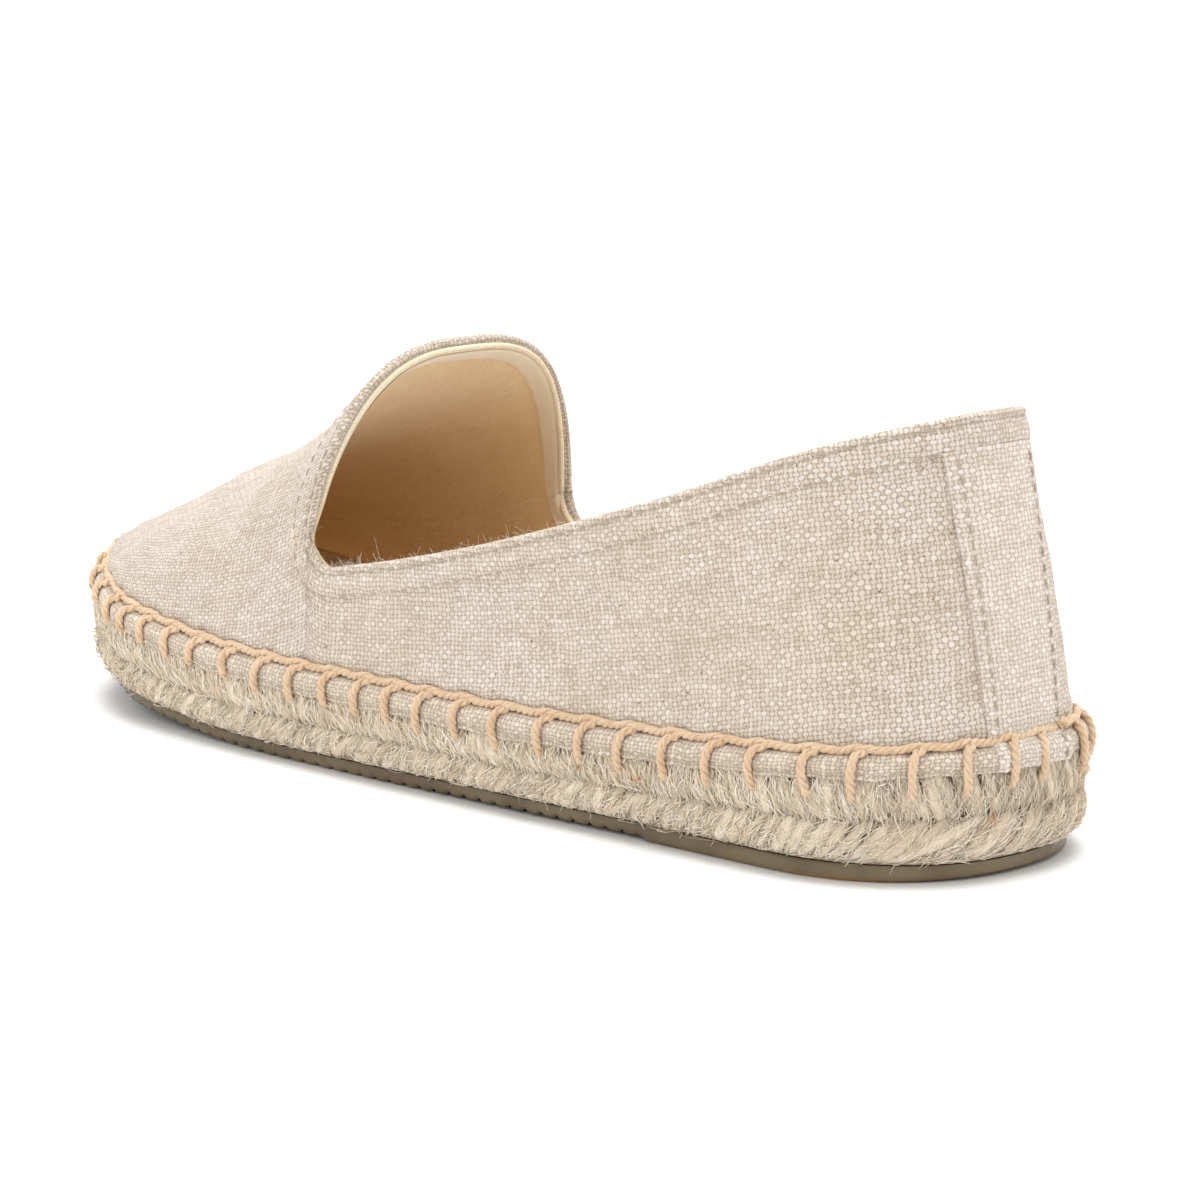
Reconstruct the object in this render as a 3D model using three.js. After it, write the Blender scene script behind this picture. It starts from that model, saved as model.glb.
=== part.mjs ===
// A left flat espadrille: linen upper with a tall round tongue on a braided jute sole, with a thin rubber
// outsole, an insole and a linen strip over the back seam. Millimetres, +Z up.
// The shoe is drawn with x from the back of the heel to the toe, +y to the outer (lateral) side and z from the
// floor. The group then moves it so that the origin is under the middle of its box.
import * as THREE from 'three';

const shoeLength = 252; // jute edge, heel to toe
const heelRound = 36; // length of the rounded heel end of the outline
const toeRound = 48; // length of the rounded toe end
const heelPower = 2.25; // squareness of the heel end, 2 is an ellipse
const toePower = 1.95;
const featherInset = 2.5; // upper meets the sole this far inside the jute edge
const outsoleInset = 3; // rubber stands this far inside the jute edge
const upperWall = 1.8; // linen and cotton lining together
const gap = 0.3; // between pieces that touch
const hemReach = 2.9; // outer face of the turned hem, out from the feather line
const insoleThick = 1.6;
const juteDrop = 3.7; // top of the jute under the feather line
const throatX = 151; // most forward point of the opening
const tongueX = 141; // top of the tongue
const throatRadius = 7; // round corner between tongue side and collar
const throatRise = 46; // height where the tongue side leaves the corner
const heelTopX = 12.5; // back of the topline
const noseRound = 24; // length of the rounded end of the vamp
const stripHalf = { foot: 9.5, top: 11.5 }; // half width of the heel strip
const stripThick = 0.9;
const breastX = 63; // front edge of the thicker heel plate
const breastStep = 0.7;

// Middle line and half width of the jute edge.
const outlineRows = [
  { x: 0, middle: 0, half: 33.2 },
  { x: 36, middle: 2.2, half: 33.5 },
  { x: 60, middle: 3.6, half: 33.7 },
  { x: 103, middle: 5, half: 35.3 },
  { x: 143, middle: 4.4, half: 37.9 },
  { x: 181, middle: 3.1, half: 40.2 },
  { x: 204, middle: 2.4, half: 39.2 },
  { x: 225, middle: -0.4, half: 38 },
  { x: 240, middle: -4.8, half: 38 },
  { x: 252, middle: -10, half: 38 },
];

// Heights above the underside of the sole: rubber, lower edge of the hem and feather line.
// spring is the height of the underside above the floor.
const levelRows = [
  { x: 0, spring: 0, rubber: 3.2, hem: 20.2, feather: 24.4 },
  { x: 30, spring: 0, rubber: 3.2, hem: 18.4, feather: 22.6 },
  { x: 60, spring: 0, rubber: 3.2, hem: 16.2, feather: 20.9 },
  { x: 103, spring: 0, rubber: 3, hem: 14.8, feather: 19.7 },
  { x: 150, spring: 0, rubber: 2.6, hem: 14.8, feather: 19.6 },
  { x: 175, spring: 0.5, rubber: 2.4, hem: 15, feather: 19.8 },
  { x: 200, spring: 2.2, rubber: 2.4, hem: 15.6, feather: 20.2 },
  { x: 225, spring: 4.9, rubber: 2.4, hem: 16.2, feather: 20.6 },
  { x: 252, spring: 8.8, rubber: 2.4, hem: 16.6, feather: 20.8 },
];

// Underside of the outsole above the spring line: bevelled back of the heel, heel plate, raised waist and
// forefoot.
const undersideRows = [
  { x: 0, lift: 0.6 },
  { x: 12, lift: 0.2 },
  { x: 26, lift: 0 },
  { x: breastX, lift: 0 },
  { x: breastX + 0.8, lift: breastStep },
  { x: 112, lift: breastStep - 0.2 },
  { x: 132, lift: 0 },
  { x: 252, lift: 0 },
];

// Topline from the heel to the throat: height, and outer and inner side of the opening.
const toplineRows = [
  { x: 12, height: 81.6, lateral: 22, medial: -20.5 },
  { x: 35, height: 73.8, lateral: 27.4, medial: -24.6 },
  { x: 58, height: 64.8, lateral: 32.2, medial: -27.6 },
  { x: 82, height: 56.6, lateral: 35.4, medial: -28.8 },
  { x: 107, height: 49, lateral: 37, medial: -29.2 },
  { x: 130, height: 43.2, lateral: 37.9, medial: -29.6 },
  { x: 152, height: 38.6, lateral: 37.5, medial: -28.9 },
];
const toplineRound = 22; // length of the rounded back of the topline

// Ridge of the vamp above the feather line, from the top of the tongue to the toe: how full its sections are
// on each side (2 is an ellipse), and how far the ridge stands to the outer side of the middle.
const ridgeRows = [
  { x: tongueX, rise: 62.6, fullness: 2.65, medialFullness: 3.15, outward: 5 },
  { x: 153, rise: 53, fullness: 2.45, medialFullness: 2.75, outward: 3.5 },
  { x: 175, rise: 39.2, fullness: 2.2, medialFullness: 2.3, outward: 1 },
  { x: 200, rise: 26.8, fullness: 2.1, medialFullness: 2.1, outward: 0 },
  { x: 223, rise: 14.6, fullness: 2.05, medialFullness: 2.05, outward: 0 },
  { x: 240, rise: 6.8, fullness: 2, medialFullness: 2, outward: 0 },
  { x: 252, rise: 4, fullness: 2, medialFullness: 2, outward: 0 },
];

// Side of the jute sole: distance in from its edge and height from rubber (0) to hem (1).
const juteRows = [
  { inset: 3.4, level: 0 },
  { inset: 0.9, level: 0.1 },
  { inset: 0.1, level: 0.3 },
  { inset: 0.9, level: 0.52 },
  { inset: 0.3, level: 0.72 },
  { inset: 0.7, level: 0.93 },
];

// Hem from the feather line down over the jute: distance out and share of the way down.
const hemRows = [
  { out: 1.4, down: 0.1 },
  { out: 2.5, down: 0.42 },
  { out: hemReach, down: 1 },
];

const quarterRows = 8; // rows of faces up the quarter
const tongueSteps = 9; // faces from throat corner to ridge
const stripColumns = 10;
const heelSteps = 12;
const throatSteps = 8;
const vampSteps = 6;
const toeSteps = 12;

// Smooth monotone curve through one column of a table.
function curve(rows, column) {
  const x = rows.map((row) => row.x);
  const y = rows.map((row) => row[column]);
  const slope = x.slice(1).map((value, i) => (y[i + 1] - y[i]) / (value - x[i]));
  const tangent = y.map((value, i) => {
    if (i === 0) return slope[0];
    if (i === y.length - 1) return slope[i - 1];
    const product = slope[i - 1] * slope[i];
    return product > 0 ? (2 * product) / (slope[i - 1] + slope[i]) : 0;
  });
  return (at) => {
    const place = THREE.MathUtils.clamp(at, x[0], x[x.length - 1]);
    let i = 0;
    while (i < x.length - 2 && place > x[i + 1]) i += 1;
    const span = x[i + 1] - x[i];
    const t = (place - x[i]) / span;
    const rise = y[i + 1] - y[i];
    const start = span * tangent[i];
    const end = span * tangent[i + 1];
    return y[i] + t * (start + t * (3 * rise - 2 * start - end + t * (start + end - 2 * rise)));
  };
}

function straight(rows, column) {
  return (at) => {
    let i = 0;
    while (i < rows.length - 2 && at > rows[i + 1].x) i += 1;
    const t = THREE.MathUtils.clamp((at - rows[i].x) / (rows[i + 1].x - rows[i].x), 0, 1);
    return THREE.MathUtils.lerp(rows[i][column], rows[i + 1][column], t);
  };
}

const middleAt = curve(outlineRows, 'middle');
const halfAt = curve(outlineRows, 'half');
const springAt = curve(levelRows, 'spring');
const rubberAt = curve(levelRows, 'rubber');
const hemAt = curve(levelRows, 'hem');
const featherAt = curve(levelRows, 'feather');
const liftAt = straight(undersideRows, 'lift');
const topHeightAt = curve(toplineRows, 'height');
const topLateralAt = curve(toplineRows, 'lateral');
const topMedialAt = curve(toplineRows, 'medial');
const riseAt = curve(ridgeRows, 'rise');
const fullnessAt = curve(ridgeRows, 'fullness');
const medialFullnessAt = curve(ridgeRows, 'medialFullness');
const outwardAt = curve(ridgeRows, 'outward');

// Width share of a rounded end, 0 at its tip and 1 where it joins the straight side.
const roundShare = (along, power) => {
  const left = 1 - THREE.MathUtils.clamp(along, 0, 1);
  return Math.pow(Math.max(0, 1 - Math.pow(left, power)), 1 / power);
};

function edgeY(x, side) {
  const share = roundShare(x / heelRound, heelPower) * roundShare((shoeLength - x) / toeRound, toePower);
  return middleAt(x) + side * halfAt(x) * share;
}

// Places along x from heel to toe, close together at both ends.
function stations() {
  const list = [];
  for (let i = 0; i < heelSteps; i += 1) list.push(heelRound * (1 - Math.cos((Math.PI / 2) * (i / heelSteps))));
  list.push(heelRound, 45, 54, breastX, breastX + 0.8, 72, 82, 92, 102, 112, 122, 132);
  for (let i = 1; i <= throatSteps; i += 1) {
    list.push(THREE.MathUtils.lerp(132, throatX, Math.sin((Math.PI / 2) * (i / throatSteps))));
  }
  const toeStart = shoeLength - toeRound;
  for (let i = 1; i <= vampSteps; i += 1) list.push(THREE.MathUtils.lerp(throatX, toeStart, i / vampSteps));
  for (let i = 1; i <= toeSteps; i += 1) list.push(toeStart + toeRound * Math.sin((Math.PI / 2) * (i / toeSteps)));
  return list;
}

// Closed loop round the jute edge, moved outward by `out`: heel, medial side, toe, lateral side.
// z holds the x of the station that a point belongs to.
function loop(xs, out) {
  const medial = xs.map((x) => new THREE.Vector2(x, edgeY(x, -1)));
  const lateral = xs.slice(1, -1).reverse().map((x) => new THREE.Vector2(x, edgeY(x, 1)));
  const ring = medial.concat(lateral);
  return ring.map((point, i) => {
    const before = ring[(i + ring.length - 1) % ring.length];
    const after = ring[(i + 1) % ring.length];
    const along = after.clone().sub(before).normalize();
    return new THREE.Vector3(point.x + along.y * out, point.y - along.x * out, point.x);
  });
}

// Points kept once each, with the faces that use them.
class Patch {
  constructor() {
    this.points = [];
    this.faces = [];
    this.index = new Map();
  }

  add(point) {
    const key = [point.x, point.y, point.z].map((value) => Math.round(value * 2000)).join();
    if (!this.index.has(key)) {
      this.index.set(key, this.points.length);
      this.points.push(point.clone());
    }
    return this.index.get(key);
  }

  triangle(a, b, c) {
    if (a !== b && b !== c && c !== a) this.faces.push([a, b, c]);
  }

  // Faces between neighbouring rows; each row is a list of points of one length.
  grid(rows, closed = false) {
    const ids = rows.map((row) => row.map((point) => this.add(point)));
    for (let i = 0; i + 1 < ids.length; i += 1) {
      const last = closed ? ids[i].length : ids[i].length - 1;
      for (let j = 0; j < last; j += 1) {
        const next = (j + 1) % ids[i].length;
        this.triangle(ids[i][j], ids[i][next], ids[i + 1][next]);
        this.triangle(ids[i][j], ids[i + 1][next], ids[i + 1][j]);
      }
    }
    return this;
  }

  // Fills a loop that runs up one side and down the other with strips from side to side.
  cap(row, facingUp) {
    const ids = row.map((point) => this.add(point));
    const count = ids.length;
    for (let j = 0; j < count / 2; j += 1) {
      const quad = [ids[j], ids[j + 1], ids[(count - j - 1) % count], ids[(count - j) % count]];
      if (!facingUp) quad.reverse();
      this.triangle(quad[0], quad[1], quad[2]);
      this.triangle(quad[0], quad[2], quad[3]);
    }
    return this;
  }

  normals() {
    const sums = this.points.map(() => new THREE.Vector3());
    this.faces.forEach((face) => {
      const [a, b, c] = face.map((id) => this.points[id]);
      const cross = b.clone().sub(a).cross(c.clone().sub(a));
      face.forEach((id) => sums[id].add(cross));
    });
    return sums.map((sum) => sum.normalize());
  }

  // Closed sheet between this patch moved out by `high` and by `low` along its normals.
  sheet(high, low) {
    const normals = this.normals();
    const count = this.points.length;
    const solid = new Patch();
    const at = (id, reach) => this.points[id].clone().addScaledVector(normals[id], reach);
    solid.points = this.points.map((point, id) => at(id, high)).concat(this.points.map((point, id) => at(id, low)));
    const edges = new Map();
    this.faces.forEach(([a, b, c]) => {
      solid.faces.push([a, b, c], [a + count, c + count, b + count]);
      [[a, b], [b, c], [c, a]].forEach(([from, to]) => {
        if (!edges.delete(`${to},${from}`)) edges.set(`${from},${to}`, [from, to]);
      });
    });
    edges.forEach(([from, to]) => {
      solid.faces.push([to, from, from + count], [to, from + count, to + count]);
    });
    return solid;
  }

  geometry() {
    const shape = new THREE.BufferGeometry();
    const flat = this.points.flatMap((point) => [point.x, point.y, point.z]);
    shape.setAttribute('position', new THREE.Float32BufferAttribute(flat, 3));
    shape.setIndex(this.faces.flat());
    shape.computeVertexNormals();
    return shape;
  }
}

const places = stations();

// One loop of the sole's side; height gets the x of the station that the point belongs to.
function level(out, height) {
  return loop(places, out).map((point) => new THREE.Vector3(point.x, point.y, height(point.z)));
}

function slab(rings) {
  const patch = new Patch();
  patch.grid(rings, true);
  patch.cap(rings[0], false);
  patch.cap(rings[rings.length - 1], true);
  return patch;
}

function outsole() {
  const under = (x) => springAt(x) + liftAt(x);
  const top = (x) => springAt(x) + rubberAt(x);
  return slab([
    level(-outsoleInset - 0.5, under),
    level(-outsoleInset, (x) => under(x) + 0.5),
    level(-outsoleInset - 0.2, top),
  ]);
}

const juteBottom = (x) => springAt(x) + rubberAt(x) + gap;
const juteTop = (x) => springAt(x) + featherAt(x) - juteDrop;

function juteSole() {
  const side = juteRows.map(({ inset, level: share }) =>
    level(-inset, (x) => THREE.MathUtils.lerp(juteBottom(x), springAt(x) + hemAt(x), share)));
  const underHem = hemReach - featherInset - upperWall - gap; // jute set back to lie under the hem
  side.push(level(underHem - 0.4, (x) => springAt(x) + hemAt(x) + 0.3));
  side.push(level(underHem - 1.2, (x) => juteTop(x) - 0.6));
  side.push(level(underHem - 2.6, juteTop));
  return slab(side);
}

function insole() {
  const inset = -featherInset - upperWall - 1;
  const bottom = (x) => juteTop(x) + gap;
  return slab([
    level(inset, bottom),
    level(inset, (x) => bottom(x) + insoleThick - 0.5),
    level(inset - 0.6, (x) => bottom(x) + insoleThick),
  ]);
}

const featherLoop = loop(places, -featherInset);
const toeIndex = places.length - 1;
const throatIndex = places.findIndex((x) => Math.abs(x - throatX) < 0.01);

// Feather line point of station i on one side.
function featherPoint(i, side) {
  const ring = side < 0 || i === 0 ? featherLoop[i] : featherLoop[featherLoop.length - i];
  return new THREE.Vector3(ring.x, ring.y, springAt(ring.z) + featherAt(ring.z));
}

const throatBase = (side) => featherPoint(throatIndex, side);
const baseZ = throatBase(1).z;
const cornerShare = (throatRise - baseZ) / riseAt(tongueX); // height share where the tongue side starts
const archWidth = (share, power) => Math.pow(1 - Math.pow(share, power), 1 / power);
const noseShare = (x) => roundShare((featherPoint(toeIndex, 1).x - x) / noseRound, 2.1);

// Height shares of the points of a vamp section, from feather line to ridge.
function sectionShares() {
  const low = Array.from({ length: quarterRows }, (item, i) => (cornerShare * i) / quarterRows);
  const start = Math.asin(cornerShare);
  const high = Array.from({ length: tongueSteps + 1 }, (item, i) =>
    Math.sin(THREE.MathUtils.lerp(start, Math.PI / 2, i / tongueSteps)));
  return low.concat(high);
}

// Section over the foot from the lateral to the medial feather line; it leans back to the tongue.
function vampSection(i) {
  const lateral = featherPoint(i, 1);
  const medial = featherPoint(i, -1);
  const middle = lateral.clone().lerp(medial, 0.5);
  const done = (places[i] - throatX) / (shoeLength - throatX);
  const ridgeX = THREE.MathUtils.lerp(tongueX, featherPoint(toeIndex, 1).x, done);
  const rise = riseAt(ridgeX) * noseShare(ridgeX);
  const point = (share, edge, power) => {
    const lean = Math.max(0, (share - cornerShare) / (1 - cornerShare)) ** 1.15;
    const place = middle.clone().lerp(edge, archWidth(share, power));
    place.x += (ridgeX - middle.x) * lean;
    place.y += outwardAt(ridgeX) * lean;
    place.z += rise * share;
    return place;
  };
  const shares = sectionShares();
  const up = shares.map((share) => point(share, lateral, fullnessAt(ridgeX)));
  const down = shares.slice(0, -1).reverse().map((share) => point(share, medial, medialFullnessAt(ridgeX)));
  return up.concat(down);
}

const seam = vampSection(throatIndex);

// Height of the opening's edge above the floor at x, with the round corner at the throat.
function topHeight(x) {
  const into = x - (throatX - throatRadius);
  if (into <= 0) return topHeightAt(x);
  const low = throatRise - throatRadius;
  const bend = throatRadius - Math.sqrt(Math.max(0, throatRadius ** 2 - into ** 2));
  return THREE.MathUtils.lerp(topHeightAt(x), low, into / throatRadius) + bend;
}

// Quarter wall over a feather point, share 0 at the sole and 1 at the topline; done runs from heel to throat.
function quarterPoint(done, side, share, base) {
  const topX = THREE.MathUtils.lerp(heelTopX, throatX, done);
  const round = roundShare((topX - heelTopX) / toplineRound, 2.1);
  const openY = side > 0 ? topLateralAt(topX) : topMedialAt(topX);
  const corner = side > 0 ? seam[quarterRows] : seam[seam.length - 1 - quarterRows];
  const near = THREE.MathUtils.smoothstep(done, 0.85, 1);
  const topY = THREE.MathUtils.lerp(openY * round, corner.y, near);
  const endX = topX + (corner.x - throatX) * near;
  const power = side > 0 ? ridgeRows[0].fullness : ridgeRows[0].medialFullness;
  const seamLean = (1 - archWidth(share * cornerShare, power)) / (1 - archWidth(cornerShare, power));
  const lean = THREE.MathUtils.lerp(share ** 1.2, seamLean, THREE.MathUtils.smoothstep(done, 0.4, 1));
  return new THREE.Vector3(
    THREE.MathUtils.lerp(base.x, endX, lean),
    THREE.MathUtils.lerp(base.y, topY, lean),
    THREE.MathUtils.lerp(base.z, topHeight(topX), share),
  );
}

function quarterColumn(x, side, base) {
  return Array.from({ length: quarterRows + 1 }, (item, row) =>
    quarterPoint(x / throatX, side, row / quarterRows, base));
}

// The hem turns out at the feather line and lies down over the jute.
function hemColumns() {
  const feather = loop(places, -featherInset);
  const rings = hemRows.map(({ out }) => loop(places, out - featherInset));
  return feather.map((point, j) => {
    const top = springAt(point.z) + featherAt(point.z);
    const drop = featherAt(point.z) - hemAt(point.z);
    const column = [new THREE.Vector3(point.x, point.y, top)];
    rings.forEach((ring, k) => column.push(new THREE.Vector3(ring[j].x, ring[j].y, top - drop * hemRows[k].down)));
    return column;
  });
}

function upperPatch() {
  const patch = new Patch();
  const stationList = Array.from({ length: throatIndex + 1 }, (item, i) => i);
  const lateral = stationList.map((i) => quarterColumn(places[i], 1, featherPoint(i, 1)));
  const medial = stationList.map((i) => quarterColumn(places[i], -1, featherPoint(i, -1)));
  patch.grid(lateral);
  patch.grid(medial.reverse());
  const sections = [];
  for (let i = throatIndex; i <= toeIndex; i += 1) sections.push(vampSection(i));
  patch.grid(sections);
  const hem = hemColumns();
  patch.grid(hem.concat([hem[0]]));
  return patch;
}

const upper = () => upperPatch().sheet(0, -upperWall);

// Point of the quarter wall at a given y beside the back seam, found by halving the range of stations.
function wallAtY(y, share) {
  const side = y < 0 ? -1 : 1;
  let low = 0;
  let high = heelSteps;
  const at = (step) => {
    const i = Math.floor(step);
    const from = featherPoint(i, side);
    const base = from.lerp(featherPoint(i + 1, side), step - i);
    const x = THREE.MathUtils.lerp(places[i], places[i + 1], step - i);
    return { point: quarterPoint(x / throatX, side, share, base), x };
  };
  for (let turn = 0; turn < 30; turn += 1) {
    const middle = (low + high) / 2;
    if (Math.abs(at(middle).point.y) < Math.abs(y)) low = middle;
    else high = middle;
  }
  return at(low);
}

// Strip over the back seam, from the topline down over the hem.
function heelStrip() {
  const columns = [];
  for (let j = 0; j <= stripColumns; j += 1) {
    const across = (2 * j) / stripColumns - 1;
    const y = across * stripHalf.foot;
    const foot = wallAtY(y, 0);
    const ahead = wallAtY(y + 0.5, 0).point.sub(wallAtY(y - 0.5, 0).point).normalize();
    const drop = featherAt(foot.x) - hemAt(foot.x);
    const below = hemRows.map(({ out, down }) => new THREE.Vector3(
      foot.point.x - ahead.y * out, foot.point.y + ahead.x * out, foot.point.z - drop * down));
    const wall = Array.from({ length: quarterRows + 1 }, (item, row) => {
      const share = row / quarterRows;
      return wallAtY(across * THREE.MathUtils.lerp(stripHalf.foot, stripHalf.top, share), share).point;
    });
    columns.push(below.reverse().concat(wall));
  }
  return new Patch().grid(columns).sheet(gap + stripThick, gap);
}

function mesh(name, patch, colour, roughness) {
  const material = new THREE.MeshStandardMaterial({ color: colour, roughness, metalness: 0 });
  const piece = new THREE.Mesh(patch.geometry(), material);
  piece.name = name;
  return piece;
}

const shoe = new THREE.Group();
shoe.add(mesh('outsole', outsole(), 0x6f6549, 0.5));
shoe.add(mesh('jute_sole', juteSole(), 0xcbbf9f, 0.95));
shoe.add(mesh('insole', insole(), 0xcdb98f, 0.9));
shoe.add(mesh('upper', upper(), 0xcfc4b0, 0.95));
shoe.add(mesh('heel_strip', heelStrip(), 0xd6ccba, 0.95));

const box = new THREE.Box3().setFromObject(shoe);
shoe.position.set(-(box.min.x + box.max.x) / 2, -(box.min.y + box.max.y) / 2, -box.min.z);

export default shoe;
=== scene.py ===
import math
import bpy
import numpy as np
from mathutils import Matrix, Vector
from mathutils.bvhtree import BVHTree


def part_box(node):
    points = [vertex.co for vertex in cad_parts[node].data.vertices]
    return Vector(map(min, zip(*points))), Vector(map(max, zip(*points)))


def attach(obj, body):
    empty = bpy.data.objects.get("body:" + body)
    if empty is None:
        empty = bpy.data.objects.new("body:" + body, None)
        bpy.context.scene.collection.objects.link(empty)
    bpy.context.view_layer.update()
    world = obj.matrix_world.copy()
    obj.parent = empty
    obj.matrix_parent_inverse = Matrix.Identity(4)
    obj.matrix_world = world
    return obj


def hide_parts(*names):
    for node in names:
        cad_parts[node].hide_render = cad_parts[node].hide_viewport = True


# Left flat espadrille. The last is worked out in millimetres, x from the back of the heel to the toe,
# +y to the outer side, z from the floor; toFrame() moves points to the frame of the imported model.

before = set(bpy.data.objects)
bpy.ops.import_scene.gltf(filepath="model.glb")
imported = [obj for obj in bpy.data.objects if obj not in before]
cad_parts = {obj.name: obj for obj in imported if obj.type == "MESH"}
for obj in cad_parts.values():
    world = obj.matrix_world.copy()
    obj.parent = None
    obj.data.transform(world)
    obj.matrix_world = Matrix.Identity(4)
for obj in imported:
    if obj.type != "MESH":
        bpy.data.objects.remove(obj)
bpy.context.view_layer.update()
random = np.random.default_rng(7)

last = {
    "length": 252, "heelRound": 36, "toeRound": 48, "heelPower": 2.25, "toePower": 1.95,
    "featherInset": 2.5, "throatX": 151, "tongueX": 141, "throatRadius": 7, "throatRise": 46,
    "heelTopX": 12.5, "noseRound": 24, "toplineRound": 22, "wall": 1.8, "juteDrop": 3.7,
}
outline = {
    "x": [0, 36, 60, 103, 143, 181, 204, 225, 240, 252],
    "middle": [0, 2.2, 3.6, 5, 4.4, 3.1, 2.4, -0.4, -4.8, -10],
    "half": [33.2, 33.5, 33.7, 35.3, 37.9, 40.2, 39.2, 38, 38, 38],
}
levels = {
    "x": [0, 30, 60, 103, 150, 175, 200, 225, 252],
    "spring": [0, 0, 0, 0, 0, 0.5, 2.2, 4.9, 8.8],
    "rubber": [3.2, 3.2, 3.2, 3, 2.6, 2.4, 2.4, 2.4, 2.4],
    "hem": [20.2, 18.4, 16.2, 14.8, 14.8, 15, 15.6, 16.2, 16.6],
    "feather": [24.4, 22.6, 20.9, 19.7, 19.6, 19.8, 20.2, 20.6, 20.8],
}
topline = {
    "x": [12, 35, 58, 82, 107, 130, 152],
    "height": [81.6, 73.8, 64.8, 56.6, 49, 43.2, 38.6],
    "lateral": [22, 27.4, 32.2, 35.4, 37, 37.9, 37.5],
    "medial": [-20.5, -24.6, -27.6, -28.8, -29.2, -29.6, -28.9],
}
ridge = {
    "x": [141, 153, 175, 200, 223, 240, 252],
    "rise": [62.6, 53, 39.2, 26.8, 14.6, 6.8, 4],
    "fullness": [2.65, 2.45, 2.2, 2.1, 2.05, 2, 2],
    "medialFullness": [3.15, 2.75, 2.3, 2.1, 2.05, 2, 2],
    "outward": [5, 3.5, 1, 0, 0, 0, 0],
}
hemShape = {"x": [0, 0.1, 0.42, 1], "out": [0, 1.4, 2.5, 2.9]}  # x is the share of the way down


def curve(table, column):  # smooth monotone curve through one column
    x = np.array(table["x"], float)
    y = np.array(table[column], float)
    slope = np.diff(y) / np.diff(x)
    product = slope[:-1] * slope[1:]
    total = slope[:-1] + slope[1:]
    inner = np.where(product > 0, 2 * product / np.where(total == 0, 1, total), 0)
    tangent = np.concatenate([slope[:1], inner, slope[-1:]])

    def value(at):
        place = np.clip(at, x[0], x[-1])
        i = np.clip(np.searchsorted(x, place, side="right") - 1, 0, len(x) - 2)
        span = x[i + 1] - x[i]
        t = (place - x[i]) / span
        rise = y[i + 1] - y[i]
        start = span * tangent[i]
        end = span * tangent[i + 1]
        return y[i] + t * (start + t * (3 * rise - 2 * start - end + t * (start + end - 2 * rise)))

    return value


def mix(a, b, t):
    return a + (b - a) * t


def smoothStep(value, low, high):
    t = np.clip((value - low) / (high - low), 0, 1)
    return t * t * (3 - 2 * t)


def hill(value, centre, width):  # soft bump, 1 at its centre
    return np.exp(-((value - centre) / width) ** 2)


def unit(vectors):
    return vectors / np.maximum(np.linalg.norm(vectors, axis=-1, keepdims=True), 1e-9)


def arc(points, axis):  # length run along one axis of a grid of points
    step = np.linalg.norm(np.diff(points, axis=axis), axis=-1)
    zero = np.zeros_like(np.take(step, [0], axis))
    return np.concatenate([zero, np.cumsum(step, axis)], axis)


middleAt, halfAt = curve(outline, "middle"), curve(outline, "half")
springAt, rubberAt = curve(levels, "spring"), curve(levels, "rubber")
hemAt, featherAt = curve(levels, "hem"), curve(levels, "feather")
heightAt, lateralAt, medialAt = (curve(topline, column) for column in ("height", "lateral", "medial"))
riseAt, outwardAt = curve(ridge, "rise"), curve(ridge, "outward")
fullnessAt, medialFullnessAt = curve(ridge, "fullness"), curve(ridge, "medialFullness")
hemOutAt = curve(hemShape, "out")


def roundShare(along, power):  # width of a rounded end, 0 at its tip
    left = 1 - np.clip(along, 0, 1)
    return np.maximum(0, 1 - left ** power) ** (1 / power)


def edgeY(x, side):
    heel = roundShare(x / last["heelRound"], last["heelPower"])
    toe = roundShare((last["length"] - x) / last["toeRound"], last["toePower"])
    return middleAt(x) + side * halfAt(x) * heel * toe


columns = {  # counts at the round ends and the throat, steps in millimetres between them
    "heel": 40, "long": 1.25, "throat": 34, "nearThroat": 0.55, "throatBand": 13, "vamp": 1.25, "toe": 44,
}


def evenly(low, high, step):
    return np.linspace(low, high, int(round((high - low) / step)) + 1)[1:]


def stations():  # places along x, close together at both ends and beside the throat
    toeStart = last["length"] - last["toeRound"]
    turn = np.linspace(0, math.pi / 2, columns["heel"] + 1)
    heel = last["heelRound"] * (1 - np.cos(turn))
    band = columns["throatBand"]
    quarterEnd, vampStart = last["throatX"] - band, last["throatX"] + band
    turn = np.linspace(0, math.pi / 2, columns["throat"] + 1)[1:]
    toeTurn = np.linspace(0, math.pi / 2, columns["toe"] + 1)[1:]
    return np.concatenate([
        heel,
        evenly(last["heelRound"], quarterEnd, columns["long"]),
        quarterEnd + band * np.sin(turn),
        evenly(last["throatX"], vampStart, columns["nearThroat"]),
        evenly(vampStart, toeStart, columns["vamp"]),
        toeStart + last["toeRound"] * np.sin(toeTurn),
    ])


def ringXY(xs, out):  # closed loop round the jute edge: heel, inner side, toe, outer side
    inner = np.stack([xs, edgeY(xs, -1)], 1)
    outer = np.stack([xs, edgeY(xs, 1)], 1)[1:-1][::-1]
    ring = np.vstack([inner, outer])
    along = unit(np.roll(ring, -1, 0) - np.roll(ring, 1, 0))
    return ring + np.stack([along[:, 1], -along[:, 0]], 1) * out, ring[:, 0]


places = stations()
throatIndex = int(np.argmin(abs(places - last["throatX"])))
toeIndex = len(places) - 1
frameShift = np.array([
    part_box("jute_sole")[0][0] * 1000 - 0.1,
    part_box("jute_sole")[1][1] * 1000 + 0.1 - edgeY(places, 1).max(),
    0,
])


def toFrame(points):
    return (np.asarray(points, float) + frameShift) * 0.001


# materials


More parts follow.
